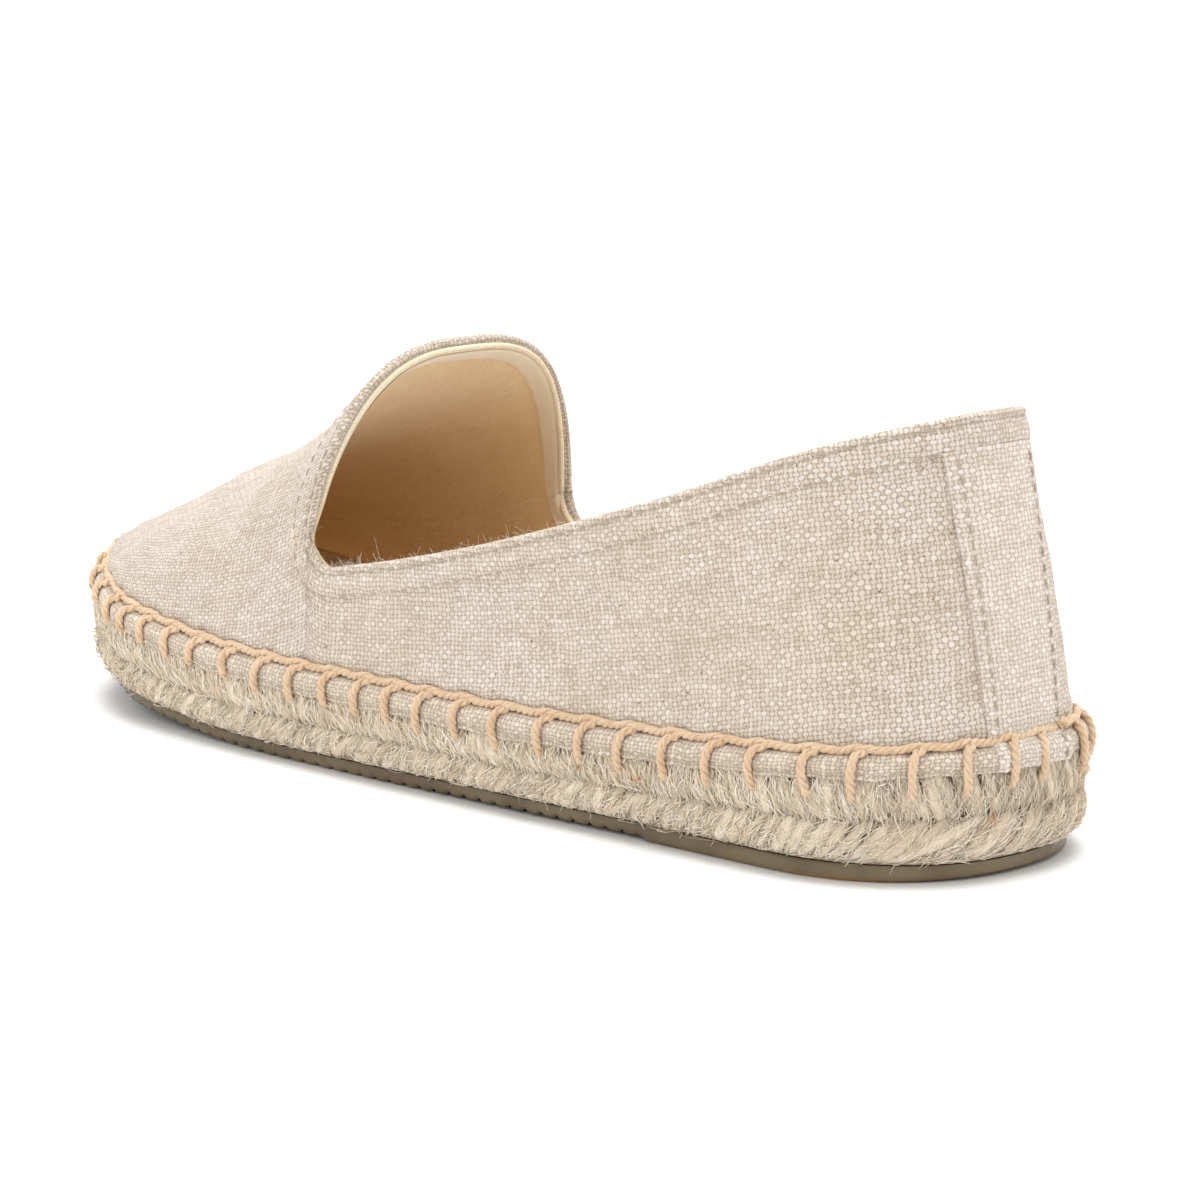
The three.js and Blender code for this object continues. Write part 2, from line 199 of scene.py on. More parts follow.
class Wire:  # one socket of a node tree, so that shader sums read as plain expressions
    def __init__(self, finish, socket):
        self.finish = finish
        self.socket = socket

    def sum(self, operation, other=None, swapped=False):
        values = [self] if other is None else [self, other]
        if swapped:
            values.reverse()
        return self.finish.add("ShaderNodeMath", {"operation": operation}, dict(enumerate(values)))

    def __add__(self, other):
        return self.sum("ADD", other)

    def __sub__(self, other):
        return self.sum("SUBTRACT", other)

    def __rsub__(self, other):
        return self.sum("SUBTRACT", other, True)

    def __mul__(self, other):
        return self.sum("MULTIPLY", other)

    def __truediv__(self, other):
        return self.sum("DIVIDE", other)

    def __rtruediv__(self, other):
        return self.sum("DIVIDE", other, True)

    def __pow__(self, other):
        return self.sum("POWER", other)

    def __gt__(self, other):
        return self.sum("GREATER_THAN", other)

    __radd__ = __add__
    __rmul__ = __mul__


class Finish:  # a material on one principled shader
    def __init__(self, name, **fixed):
        self.material = bpy.data.materials.new(name)
        self.material.use_nodes = True
        self.tree = self.material.node_tree
        self.shader = self.tree.nodes["Principled BSDF"]
        for socket, value in fixed.items():
            self.shader.inputs[socket.replace("_", " ")].default_value = value

    def add(self, kind, settings=None, sockets=None, out=0):
        node = self.tree.nodes.new(kind)
        for key, value in (settings or {}).items():
            if key == "stops":
                while len(node.color_ramp.elements) < len(value):
                    node.color_ramp.elements.new(0.5)
                for element, (place, colour) in zip(node.color_ramp.elements, value):
                    element.position = place
                    element.color = (*colour, 1)
            else:
                setattr(node, key, value)
        for key, value in (sockets or {}).items():
            if isinstance(value, Wire):
                self.tree.links.new(value.socket, node.inputs[key])
            else:
                node.inputs[key].default_value = value
        return Wire(self, node.outputs[out])

    def feed(self, socket, wire):
        self.tree.links.new(wire.socket, self.shader.inputs[socket])

    def blend(self, factor, first, second, kind="MIX"):  # colours: 6 and 7 are the colour sockets of Mix
        tone = [(*c, 1) if isinstance(c, tuple) else c for c in (first, second)]
        settings = {"data_type": "RGBA", "blend_type": kind}
        return self.add("ShaderNodeMix", settings, {0: factor, 6: tone[0], 7: tone[1]}, 2)

    def pick(self, factor, first, second):  # numbers
        return self.add("ShaderNodeMix", {"data_type": "FLOAT"}, {0: factor, 2: first, 3: second}, 0)

    def soft(self, value, low, high):  # 0 to 1 between two values
        return self.add("ShaderNodeMapRange", {"interpolation_type": "SMOOTHSTEP"},
                        {0: value, 1: low, 2: high})

    def noise(self, vector, scale, detail=2.0, roughness=0.5):
        return self.add("ShaderNodeTexNoise", {"noise_dimensions": "3D"},
                        {"Vector": vector, "Scale": scale, "Detail": detail, "Roughness": roughness})

    def ramp(self, value, colours):
        return self.add("ShaderNodeValToRGB", {"stops": colours}, {0: value})

    def vector(self, x, y, z=0.0):
        return self.add("ShaderNodeCombineXYZ", {}, {0: x, 1: y, 2: z})

    def map(self, name="threads"):
        return self.add("ShaderNodeUVMap", {"uv_map": name})

    def split(self, vector):
        first = self.add("ShaderNodeSeparateXYZ", {}, {0: vector})
        return [Wire(self, socket) for socket in first.socket.node.outputs]

    def place(self):
        return self.add("ShaderNodeTexCoord", out=3)

    def shade(self, name="shade"):  # number kept on the mesh, one for each strand or fibre
        return self.add("ShaderNodeAttribute", {"attribute_name": name}, out=2)

    def bump(self, height, distance, strength=1.0):
        self.feed("Normal", self.add("ShaderNodeBump", {}, {"Height": height, "Distance": distance,
                                                             "Strength": strength}))


def linear(*colour):  # display values 0 to 255 to scene values
    return tuple(((c / 255 + 0.055) / 1.055) ** 2.4 for c in colour)


def stops(*rows):  # places and colours of a ramp
    return [(place, linear(*colour)) for place, *colour in rows]


print("materials")


def weaveFinish(name, cloth):  # plain weave: fat weft ovals over narrow warp threads
    finish = Finish(name, Roughness=cloth["roughness"], Sheen_Weight=0.25, Sheen_Roughness=0.6,
                    Specular_IOR_Level=0.2)
    u, v, _ = finish.split(finish.map())
    wander = finish.noise(finish.map(), cloth["wanderScale"], 5.0, 0.72)
    drift = finish.noise(finish.vector(v, u, 9.0), cloth["wanderScale"], 5.0, 0.72)
    across = (u + (wander - 0.5) * cloth["wander"]) / cloth["warp"]
    up = (v + (drift - 0.5) * cloth["wander"]) / cloth["weft"]
    column = across.sum("FLOOR")
    row = up.sum("FLOOR")
    sideWave = (across * math.pi).sum("SINE")
    upWave = (up * math.pi).sum("SINE")
    slub = cloth["slub"]  # how fast a thread changes along its length, and from one thread to the next
    warpSlub = finish.noise(finish.vector(up * slub[0], column * slub[1], 5.0), 1.0, 3.0, 0.6)
    weftSlub = finish.noise(finish.vector(across * slub[0], row * slub[1], 1.0), 1.0, 3.0, 0.6)

    def rounded(share, half):  # height across a thread
        away = (share - 0.5) / half
        return (1 - away * away).sum("MAXIMUM", 0.0) ** 0.5

    weft = rounded(up - row, 0.34 + weftSlub * 0.3) * (0.52 + upWave.sum("SIGN") * sideWave * 0.48)
    warp = rounded(across - column, 0.2 + warpSlub * 0.24) * (0.46 - sideWave.sum("SIGN") * upWave * 0.42)
    weftOver = weft > warp
    pillow = weft.sum("MAXIMUM", warp)
    upper = finish.pick(weftOver, warpSlub, weftSlub)
    hairs = finish.noise(finish.map(), cloth["hairScale"], 4.0, 0.7)
    patch = finish.noise(finish.map(), cloth["patchScale"], 3.0, 0.55)
    speck = finish.noise(finish.map(), cloth["fleckScale"], 1.5, 0.5)
    thread = finish.ramp(finish.soft(upper, 0.26, 0.76), cloth["threads"])
    warmed = finish.blend(weftOver, finish.blend(0.5, thread, cloth["warpTint"], "MULTIPLY"), thread)
    tinted = finish.blend(finish.soft(patch, 0.35, 0.7) * cloth["patchy"], warmed, cloth["warm"], "MULTIPLY")
    flecked = finish.blend(finish.soft(speck, cloth["fleckFrom"], cloth["fleckFrom"] + 0.05) * 0.8,
                           tinted, cloth["fleck"])
    fibred = finish.blend(finish.soft(hairs, 0.3, 0.75) * 0.5, flecked, cloth["fibre"], "MULTIPLY")
    # gap: painted shade, a darker colour laid in where the weave sinks between the threads
    cover = finish.blend(finish.soft(pillow, 0.12, 0.66), cloth["gap"], fibred)
    if cloth["facing"]:
        cover = finish.blend(finish.shade(), cover, cloth["facing"])
    finish.feed("Base Color", cover)
    finish.bump(pillow + hairs * 0.5, cloth["relief"], cloth["strength"])
    if "paintedGlow" in cloth:  # painted glow: emission standing in for daylight through the thin cloth, fading toward the opening
        _, _, z = finish.split(finish.place())
        fade = finish.soft(z, *cloth["paintedGlowHeights"])
        finish.feed("Emission Color", finish.blend(fade, cloth["paintedGlow"], (0.0, 0.0, 0.0)))
        finish.shader.inputs["Emission Strength"].default_value = 1.0
    return finish.material


linenCloth = {
    "warp": 1.0, "weft": 0.84, "wander": 2.0, "relief": 0.00042, "strength": 0.85, "roughness": 0.9,
    "wanderScale": 0.16, "slub": (0.17, 3.73), "hairScale": 4.5, "patchScale": 0.035,
    "threads": stops((0, 204, 190, 174), (0.3, 220, 209, 198), (0.7, 231, 223, 214), (1, 240, 234, 228)),
    "warpTint": linear(255, 247, 230), "warm": linear(245, 235, 220), "patchy": 0.5, "facing": None,
    "fibre": linear(198, 188, 176), "fleck": linear(140, 92, 52), "fleckFrom": 0.69, "fleckScale": 0.85,
    # gap: painted shade between the threads
    "gap": linear(166, 146, 122),
}
# In the cloths below, gap is painted shade between the threads as well.
stripCloth = dict(linenCloth, fleckFrom=0.76, gap=linear(178, 161, 140), patchy=0.2,
                  threads=stops((0, 216, 205, 192), (0.4, 230, 221, 211), (0.75, 240, 233, 225),
                                (1, 247, 243, 238)))
hemCloth = dict(stripCloth, warp=0.95, weft=0.8, gap=linear(164, 144, 122),
                threads=stops((0, 202, 185, 167), (0.5, 224, 210, 194), (1, 240, 230, 218)))
liningCloth = dict(linenCloth, warp=0.55, weft=0.5, wander=0.5, relief=0.00008, strength=0.5,
                   threads=stops((0, 232, 206, 162), (0.5, 240, 218, 178), (1, 246, 228, 194)),
                   warm=linear(246, 226, 190), patchy=0.4, fleckFrom=0.9, gap=linear(226, 196, 150),
                   # paintedGlow: painted glow, a warm emission that stands in for light inside the shoe; the
                   # insole shares this cloth
                   fibre=linear(240, 230, 210), paintedGlow=(0.036, 0.0145, 0.002), paintedGlowHeights=(0.042, 0.082),
                   facing=linear(246, 234, 210))
rollCloth = dict(liningCloth, gap=linear(212, 197, 168), facing=None,
                 threads=stops((0, 228, 216, 192), (0.5, 240, 230, 208), (1, 247, 240, 222)))
rollCloth.pop("paintedGlow")


def juteFinish(name, jute):
    finish = Finish(name, Roughness=0.85, Sheen_Weight=0.3, Sheen_Roughness=0.5, Specular_IOR_Level=0.25)
    u, v, _ = finish.split(finish.map())
    strands = finish.noise(finish.vector(u * 2.6, v * 0.22), 1.0, 4.0, 0.65)
    fine = finish.noise(finish.vector(u * 7.0, v * 0.5, 3.0), 1.0, 3.0, 0.7)
    patch = finish.noise(finish.place(), 90.0, 3.0)
    tone = finish.soft(strands * 0.5 + fine * 0.25 + finish.shade() * 0.2, 0.22, 0.78)
    colour = finish.ramp(tone, jute["tones"])
    stained = finish.soft(patch, 0.45, 0.75) * 0.35
    finish.feed("Base Color", finish.blend(stained, colour, jute["stain"], "MULTIPLY"))
    finish.bump(strands + fine * 0.6, jute["relief"], 0.9)
    return finish.material


jute = {
    "tones": stops((0, 200, 181, 156), (0.35, 224, 206, 181), (0.7, 236, 222, 201), (1, 244, 234, 217)),
    "stain": linear(226, 206, 176), "relief": 0.0005,
}
# Darker tones for the jute core: painted shade for the jute seen deep between the strands.
juteInShade = dict(jute, tones=stops((0, 150, 130, 100), (0.5, 178, 158, 126), (1, 200, 182, 150)))


def fibreFinish(name, tones):
    finish = Finish(name, Roughness=0.7, Specular_IOR_Level=0.3, Sheen_Weight=0.2)
    finish.feed("Base Color", finish.ramp(finish.shade(), tones))
    return finish.material


def cordFinish(name, cord):
    finish = Finish(name, Roughness=0.8, Sheen_Weight=0.35, Sheen_Roughness=0.5, Specular_IOR_Level=0.2)
    u, v, _ = finish.split(finish.map())
    strands = finish.noise(finish.vector(u * 3.2, v * 0.35), 1.0, 4.0, 0.65)
    patch = finish.noise(finish.place(), 160.0, 2.0)
    colour = finish.ramp(finish.soft(strands, 0.28, 0.72), cord["tones"])
    stained = finish.soft(patch, 0.4, 0.75) * 0.3
    finish.feed("Base Color", finish.blend(stained, colour, cord["stain"], "MULTIPLY"))
    finish.bump(strands, 0.00022, 0.9)
    return finish.material


def rubberFinish(name, rubber):
    finish = Finish(name, Roughness=0.42, Specular_IOR_Level=0.45)
    place = finish.place()
    x, _, z = finish.split(place)
    cloud = finish.noise(place, 60.0, 4.0)
    grain = finish.noise(place, 900.0, 3.0)
    dust = finish.noise(place, 420.0, 4.0, 0.7)
    # low: painted glow, a warm band along the bottom edge at the heel, standing in for light through the thin
    # rubber
    low = (1 - finish.soft(z, 0.0003, 0.001)) * (1 - finish.soft(x, rubber["paintedGlowFrom"], rubber["paintedGlowTo"]))
    body = finish.blend(finish.soft(cloud, 0.3, 0.7), rubber["dark"], rubber["light"])
    dusty = finish.blend(finish.soft(dust, 0.66, 0.74) * 0.5, body, rubber["dust"])
    finish.feed("Base Color", finish.blend(low, dusty, rubber["paintedGlow"]))
    finish.feed("Roughness", 0.36 + cloud * 0.22)
    finish.bump(grain + dust * 0.5, 0.00012, 0.4)
    return finish.material


# mesh helpers


def gridFaces(rows, count, closedRows=False, closed=False, start=0):
    i = np.arange(rows if closedRows else rows - 1)[:, None]
    j = np.arange(count if closed else count - 1)[None, :]
    a = i * count + j
    b = i * count + (j + 1) % count
    c = ((i + 1) % rows) * count + (j + 1) % count
    d = ((i + 1) % rows) * count + j
    return np.stack(np.broadcast_arrays(a, b, c, d), -1).reshape(-1, 4) + start


def weld(grids):  # one mesh from grids of points; corners keep their own thread coordinates
    points = np.concatenate([g[0].reshape(-1, 3) for g in grids])
    threads = np.concatenate([g[1].reshape(-1, 2) for g in grids])
    faces = []
    start = 0
    for grid, _ in grids:
        faces.append(gridFaces(grid.shape[0], grid.shape[1], start=start))
        start += grid.shape[0] * grid.shape[1]
    corner = np.concatenate(faces)
    _, first, index = np.unique(np.round(points * 400).astype(np.int64), axis=0, return_index=True,
                                return_inverse=True)
    index = index.reshape(-1)
    return points[first], index[corner], threads[corner]


def cleaned(faces, threads):  # closes faces whose corners have met, dropping what has no area
    kept, maps = [], []
    for face, uv in zip(faces.tolist(), threads.tolist()):
        seen = []
        for corner, place in zip(face, uv):
            if all(corner != other for other, _ in seen):
                seen.append((corner, place))
        if len(seen) > 2:
            kept.append([corner for corner, _ in seen])
            maps.extend(place for _, place in seen)
    return kept, maps


def vertexNormals(points, faces):
    a, b, c, d = (points[faces[:, k]] for k in range(4))
    cross = np.cross(c - a, d - b)
    total = np.zeros_like(points)
    for k in range(4):
        np.add.at(total, faces[:, k], cross)
    return unit(total)


def makePiece(name, points, faces, finish, threads=None, shade=None, corners=False):
    mesh = bpy.data.meshes.new(name)
    mesh.from_pydata(toFrame(points).tolist(), [], faces if isinstance(faces, list) else faces.tolist())
    mesh.shade_smooth()
    if threads is not None:
        layer = mesh.uv_layers.new(name="threads")
        values = np.asarray(threads, np.float32)
        if not corners:
            index = np.zeros(len(mesh.loops), np.int32)
            mesh.loops.foreach_get("vertex_index", index)
            values = values[index]
        layer.data.foreach_set("uv", values.reshape(-1))
    if shade is not None:
        kept = mesh.attributes.new("shade", "FLOAT", "POINT")
        kept.data.foreach_set("value", np.asarray(shade, np.float32))
    mesh.materials.append(finish)
    piece = bpy.data.objects.new(name, mesh)
    bpy.context.scene.collection.objects.link(piece)
    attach(piece, "root")
    print("made", name, len(mesh.polygons), "faces")
    return piece


def tubes(paths, out, wide, thick, sides):  # many closed tubes of one length each
    count, steps, _ = paths.shape
    along = unit(np.gradient(paths, axis=1))
    side = unit(np.cross(along, out))
    lift = np.cross(side, along)
    angle = np.arange(sides) * 2 * math.pi / sides
    wide = np.broadcast_to(wide, (count, steps))[..., None, None]
    thick = np.broadcast_to(thick, (count, steps))[..., None, None]
    ring = (side[:, :, None, :] * np.cos(angle)[None, None, :, None] * wide
            + lift[:, :, None, :] * np.sin(angle)[None, None, :, None] * thick)
    points = paths[:, :, None, :] + ring
    one = gridFaces(steps, sides, closed=True)
    starts = np.arange(count)[:, None, None] * steps * sides
    quads = (one[None] + starts).reshape(-1, 4)[:, ::-1].tolist()
    first = np.arange(sides)[None] + starts[:, :, 0]
    ends = np.concatenate([first, first[:, ::-1] + (steps - 1) * sides])
    over = np.abs(angle / math.pi - 1) * 3
    threads = np.stack(np.broadcast_arrays(over[None, None, :] + np.arange(count)[:, None, None] * 7.3,
                                           arc(paths, 1)[:, :, None]), -1)
    return points.reshape(-1, 3), quads + ends.tolist(), threads.reshape(-1, 2)


# loop of the sole, measured round its edge

edgeLoop, edgeStation = ringXY(places, 0)
edgeAlong = unit(np.roll(edgeLoop, -1, 0) - np.roll(edgeLoop, 1, 0))
edgeNormal = np.stack([edgeAlong[:, 1], -edgeAlong[:, 0]], 1)
edgeSteps = np.linalg.norm(np.roll(edgeLoop, -1, 0) - edgeLoop, axis=1)
edgeDistance = np.concatenate([[0], np.cumsum(edgeSteps)])
girth = edgeDistance[-1]


def around(distance):  # edge point, outward direction and station x at a distance round the sole
    place = np.mod(distance, girth)

    def at(values):
        return np.interp(place, edgeDistance, np.append(values, values[0]))

    point = np.stack([at(edgeLoop[:, 0]), at(edgeLoop[:, 1])], -1)
    normal = unit(np.stack([at(edgeNormal[:, 0]), at(edgeNormal[:, 1])], -1))
    return point, normal, at(edgeStation)


def sidePoint(distance, out, height):  # height(x) gives z over the floor
    point, normal, x = around(distance)
    flat = point + normal * np.asarray(out)[..., None]
    return np.concatenate([flat, np.asarray(height(x))[..., None]], -1)


def outFrom(distance, rise=0.0):  # outward directions at distances round the sole, tipped up by rise
    _, normal, _ = around(distance)
    return np.concatenate([normal, np.full((len(normal), 1), rise)], 1)


def featherTop(x):
    return springAt(x) + featherAt(x)


def juteLow(x):
    return springAt(x) + rubberAt(x) + 0.2


def hemLow(x):
    return springAt(x) + hemAt(x)


# upper

rimRows = np.array([  # distances below the edge of the opening
    0, 0.2, 0.45, 0.75, 1.1, 1.4, 1.7, 2.0, 2.4, 2.9, 3.7, 4.6, 5.3, 5.7, 6.0, 6.3, 6.6, 7.0, 7.6, 8.4,
])
wallRows = 30
tongueRows = 44

featherXY, _ = ringXY(places, -last["featherInset"])


def featherPoints(side):
    index = np.arange(toeIndex + 1)
    if side > 0:
        index = np.where(index == 0, 0, len(featherXY) - index)
    ring = featherXY[index]
    return np.concatenate([ring, featherTop(places)[:, None]], 1)


featherSide = {1: featherPoints(1), -1: featherPoints(-1)}
tipX = featherSide[1][toeIndex, 0]
baseZ = featherSide[1][throatIndex, 2]
cornerShare = (last["throatRise"] - baseZ) / float(riseAt(last["tongueX"]))


def archWidth(share, power):
    return np.maximum(0, 1 - share ** power) ** (1 / power)


def wallShares(height):  # shares from the sole to the topline, close together under the topline
    rim = 1 - rimRows / height
    low = np.linspace(0, rim[-1], wallRows + 1)[:-1]
    return np.concatenate([low, rim[::-1]])


throatHeight = last["throatRise"] - baseZ
sectionLow = wallShares(throatHeight) * cornerShare
sectionHigh = np.sin(np.linspace(math.asin(cornerShare), math.pi / 2, tongueRows + 1))[1:]
sectionShares = np.concatenate([sectionLow, sectionHigh])
cornerRow = len(sectionLow) - 1


def vampSections():
    index = np.arange(throatIndex, toeIndex + 1)
    done = ((places[index] - last["throatX"]) / (last["length"] - last["throatX"]))[:, None]
    ridgeX = mix(last["tongueX"], tipX, done)
    rise = riseAt(ridgeX) * roundShare((tipX - ridgeX) / last["noseRound"], 2.1)
    lateral, medial = featherSide[1][index], featherSide[-1][index]
    middle = (lateral + medial) / 2
    shares = sectionShares[None, :]
    lean = np.maximum(0, (shares - cornerShare) / (1 - cornerShare)) ** 1.15
    halves = []
    for edge, power in ((lateral, fullnessAt(ridgeX)), (medial, medialFullnessAt(ridgeX))):
        width = archWidth(shares, power)[..., None]
        point = middle[:, None, :] + (edge - middle)[:, None, :] * width
        point[..., 0] += (ridgeX - middle[:, :1]) * lean
        point[..., 1] += outwardAt(ridgeX) * lean
        point[..., 2] += rise * shares
        halves.append(point)
    return np.concatenate([halves[0], halves[1][:, -2::-1]], 1)


vamp = vampSections()
seam = vamp[0]


def topHeight(x):
    start = last["throatX"] - last["throatRadius"]
    into = np.maximum(0, x - start)
    low = last["throatRise"] - last["throatRadius"]
    bend = last["throatRadius"] - np.sqrt(np.maximum(0, last["throatRadius"] ** 2 - into ** 2))
    return np.where(into > 0, mix(heightAt(x), low, into / last["throatRadius"]) + bend, heightAt(x))


def quarterWall(side):
    x = places[:throatIndex + 1]
    base = featherSide[side][:throatIndex + 1]
    done = (x / last["throatX"])[:, None]
    topX = mix(last["heelTopX"], last["throatX"], done)
    shares = np.stack([wallShares(h) for h in (topHeight(topX[:, 0]) - base[:, 2])])
    roundIn = roundShare((topX - last["heelTopX"]) / last["toplineRound"], 2.1)
    openY = lateralAt(topX) if side > 0 else medialAt(topX)
    corner = seam[cornerRow] if side > 0 else seam[len(seam) - 1 - cornerRow]
    near = smoothStep(done, 0.85, 1)
    topY = mix(openY * roundIn, corner[1], near)
    endX = topX + (corner[0] - last["throatX"]) * near
    power = ridge["fullness" if side > 0 else "medialFullness"][0]
    seamLean = (1 - archWidth(shares * cornerShare, power)) / (1 - archWidth(np.array(cornerShare), power))
    lean = mix(shares ** 1.2, seamLean, smoothStep(done, 0.4, 1))
    return np.stack([mix(base[:, :1], endX, lean), mix(base[:, 1:2], topY, lean),
                     mix(base[:, 2:], topHeight(topX), shares)], -1)


quarter = {1: quarterWall(1), -1: quarterWall(-1)}


def easeSeam(side):  # rounds the meeting of quarter and vamp in plan, leaving the edge of the opening alone
    rows = cornerRow + 1
    half = vamp[:, :rows] if side > 0 else vamp[:, ::-1][:, :rows]
    wall = np.concatenate([quarter[side], half[1:]])
    section = np.interp(wall[..., 2], half[0, :, 2], half[0, :, 1])
    offset = wall[..., 1] - section
    for row in range(rows):
        x = wall[:, row, 0]
        weight = np.exp(-((x[:, None] - x[None]) / easing["reach"]) ** 2) * np.abs(np.gradient(x))[None]
        smooth = weight @ offset[:, row] / weight.sum(1)
        below = wall[:, -1, 2] - wall[:, row, 2] if row < rows - 1 else np.zeros(len(x))
        share = hill(x, last["throatX"], easing["width"]) * smoothStep(below, 1, 9)
        wall[:, row, 1] += share * (smooth - offset[:, row])
    quarter[side] = wall[:throatIndex + 1]
    if side > 0:
        vamp[:, :rows] = wall[throatIndex:]
    else:
        vamp[:, vamp.shape[1] - rows:] = wall[throatIndex:, ::-1]


easing = {"reach": 5.0, "width": 12.0}
for side in (1, -1):
    easeSeam(side)
vampUp = arc(vamp, 1)
ridgeRow = vamp.shape[1] // 2
halfArc = np.maximum(vampUp[:, ridgeRow:ridgeRow + 1], 1e-6)
fromRidge = vampUp - halfArc
vampThreadsV = fromRidge * (1 + 0.5 * (halfArc[:1] - halfArc) / halfArc)
midRow = wallRows // 2
quarterThreads = {}
for side in (1, -1):
    upward = arc(quarter[side], 1)
    length = upward[:, -1:]
    along = arc(quarter[side][:, midRow:midRow + 1], 0)
    v = upward - 0.5 * (length - length[-1]) - vampUp[0, ridgeRow]
    quarterThreads[side] = np.stack(np.broadcast_arrays(along, v if side > 0 else -v), -1)
vampAlong = arc(vamp[:, midRow:midRow + 1], 0) + quarterThreads[1][-1, 0, 0]
vampThreads = np.stack(np.broadcast_arrays(vampAlong, vampThreadsV), -1)

upperGrids = [(quarter[1], quarterThreads[1]), (quarter[-1][::-1], quarterThreads[-1][::-1]),
              (vamp, vampThreads)]
skinPoints, skinFaces, skinThreads = weld(upperGrids)
skinNormals = vertexNormals(skinPoints, skinFaces)


def alongOpening(depth):  # points along the opening, some rows below its edge
    tongue = vamp[depth, cornerRow + 1:vamp.shape[1] - cornerRow - 1]
    return np.concatenate([quarter[1][:, -1 - depth], tongue, quarter[-1][::-1, -1 - depth]])


rimLine = alongOpening(0)
rimInside = alongOpening(3)
rimAlong = arc(rimLine, 0)


def closestOn(line, points, block=4000):
    index = np.zeros(len(points), int)
    distance = np.zeros(len(points))
    for start in range(0, len(points), block):
        gap = np.linalg.norm(points[start:start + block, None, :] - line[None, :, :], axis=2)
        index[start:start + block] = gap.argmin(1)
        distance[start:start + block] = gap.min(1)
    return index, distance


rimSelf, _ = closestOn(skinPoints, rimLine)
rimNormals = skinNormals[rimSelf]
for _ in range(10):  # even out the turn at the two throat corners
    rimNormals[1:-1] = unit(rimNormals[:-2] + 2 * rimNormals[1:-1] + rimNormals[2:])
rimTangent = unit(np.roll(rimLine, -2, 0) - np.roll(rimLine, 2, 0))
rimTangent[:2] = unit(rimLine[2] - rimLine[0])
rimTangent[-2:] = unit(rimLine[-1] - rimLine[-3])
rimDown = unit(np.cross(rimTangent, rimNormals))
rimDown *= np.sign(np.median(np.sum(rimDown * (rimInside - rimLine), 1)))
rimIndex, rimGap = closestOn(rimLine, skinPoints)

upperShape = {
    "fold": 0.95,  # radius of the folded edge
    "band": 0.28,  # the doubled cloth stands this proud
    "rows": [1.7, 6.3],  # stitch rows below the edge
    "groove": 0.3,
    "overStrip": 0.95,
}
stripSize = {  # half widths, thickness, and the gap it leaves below the edge of the collar
    "foot": 9.5, "top": 11.5, "thick": 1.1, "topGap": 5.9, "backHeight": 57.0, "columns": 25, "rows": 44,
    "hemRows": 9, "sunk": 0.9,
}
legSpots = [  # legs on the outer side, by distance round the sole
    1.0, 14.4, 349.8, 357.4, 364.3, 373.3, 382.3, 392.3, 402, 411.9, 420.8, 430.2, 438.7, 447, 456.5, 466.6,
    478.2, 488.5, 498, 509, 519.3, 529.3, 540.2, 548.9, 559.6, 569.3, 578.6,
]
innerLegs = np.linspace(legSpots[1], legSpots[2], 34)[1:-1]  # the rest, evenly round the inner side
legs = np.sort(np.concatenate([legSpots, innerLegs]))


def legShare(distance):  # 0 at a leg and 1 half way to the next
    place = np.mod(distance, girth)
    spots = np.concatenate([[legs[-1] - girth], legs, [legs[0] + girth]])
    count = np.interp(place, spots, np.arange(len(spots)))
    return 1 - np.abs(np.mod(count, 1) - 0.5) * 2


def creases(points):  # soft troughs and ridges over the cloth, millimetres along the normal
    x, y, z = points.T
    outer = smoothStep(y, -5, 15)
    inner = 1 - outer
    relief = 0.9 * hill(x, 96, 26) * hill(z, 37, 11) * -outer
    relief += 0.5 * hill(x, 60, 13) * hill(z, 48, 14) * outer
    relief += 0.8 * hill(x, 40, 10) * hill(z, 44, 16) * -outer
    relief += 0.7 * hill(x, 163, 12) * hill(z, 40, 12) * -smoothStep(np.abs(y - 3), 8, 26)
    relief += 0.6 * hill(x + 0.5 * z, 196, 6) * hill(z, 50, 10)
    relief += 0.8 * hill(x, 214, 15) * hill(y, 2, 16) * -1
    relief += 0.6 * hill(x, 190, 9) * hill(y, 22, 10)
    relief += 0.9 * np.sin(x * 0.16 + 1.0) * hill(x, 112, 40) * hill(z, 42, 10) * inner * 0.5
    return relief


def clothNoise(points):
    x, y, z = points.T
    wave = np.sin(x * 0.21 + 1.3 * np.sin(y * 0.11 + z * 0.07)) * np.sin(z * 0.24 + y * 0.13 + 0.8)
    return 0.16 * wave + 0.07 * np.sin(x * 0.63 + y * 0.4) * np.sin(z * 0.7 + x * 0.2)


_, featherGap = closestOn(np.concatenate([featherSide[1], featherSide[-1]]), skinPoints)
legTops = sidePoint(legs, -last["featherInset"] - 0.3, lambda x: featherTop(x) + 1)
_, legGap = closestOn(legTops, skinPoints)


def stripShare(points):  # 1 where the strip lies under the collar band
    half = stripSize["top"]
    behind = 1 - smoothStep(points[:, 0], 30, 36)
    return (1 - smoothStep(np.abs(points[:, 1]), half - 0.9, half + 0.3)) * behind


def clothRelief():
    gap = rimGap
    fold = upperShape["fold"]
    into = np.maximum(0, fold - gap)
    relief = -(fold - np.sqrt(np.maximum(0, fold ** 2 - into ** 2)))
    band = upperShape["band"] * (1 - smoothStep(gap, 6.2, 7.0))
    puffed = 0.2 * hill(gap, 4.0, 1.6) + 0.1 * hill(gap, 0.9, 0.5)
    grooves = sum(hill(gap, row, 0.42) for row in upperShape["rows"]) * upperShape["groove"]
    edge = 0.5 * hill(featherGap, 2.6, 1.8) - 0.25 * hill(legGap, 0.4, 2.2)
    calm = smoothStep(gap, 0.5, 8) * smoothStep(featherGap, 0, 5)
    lifted = upperShape["overStrip"] * stripShare(skinPoints) * (1 - smoothStep(gap, 6.0, 6.6))
    wear = (creases(skinPoints) + clothNoise(skinPoints)) * calm
    return relief + band + puffed - grooves + edge + wear + lifted


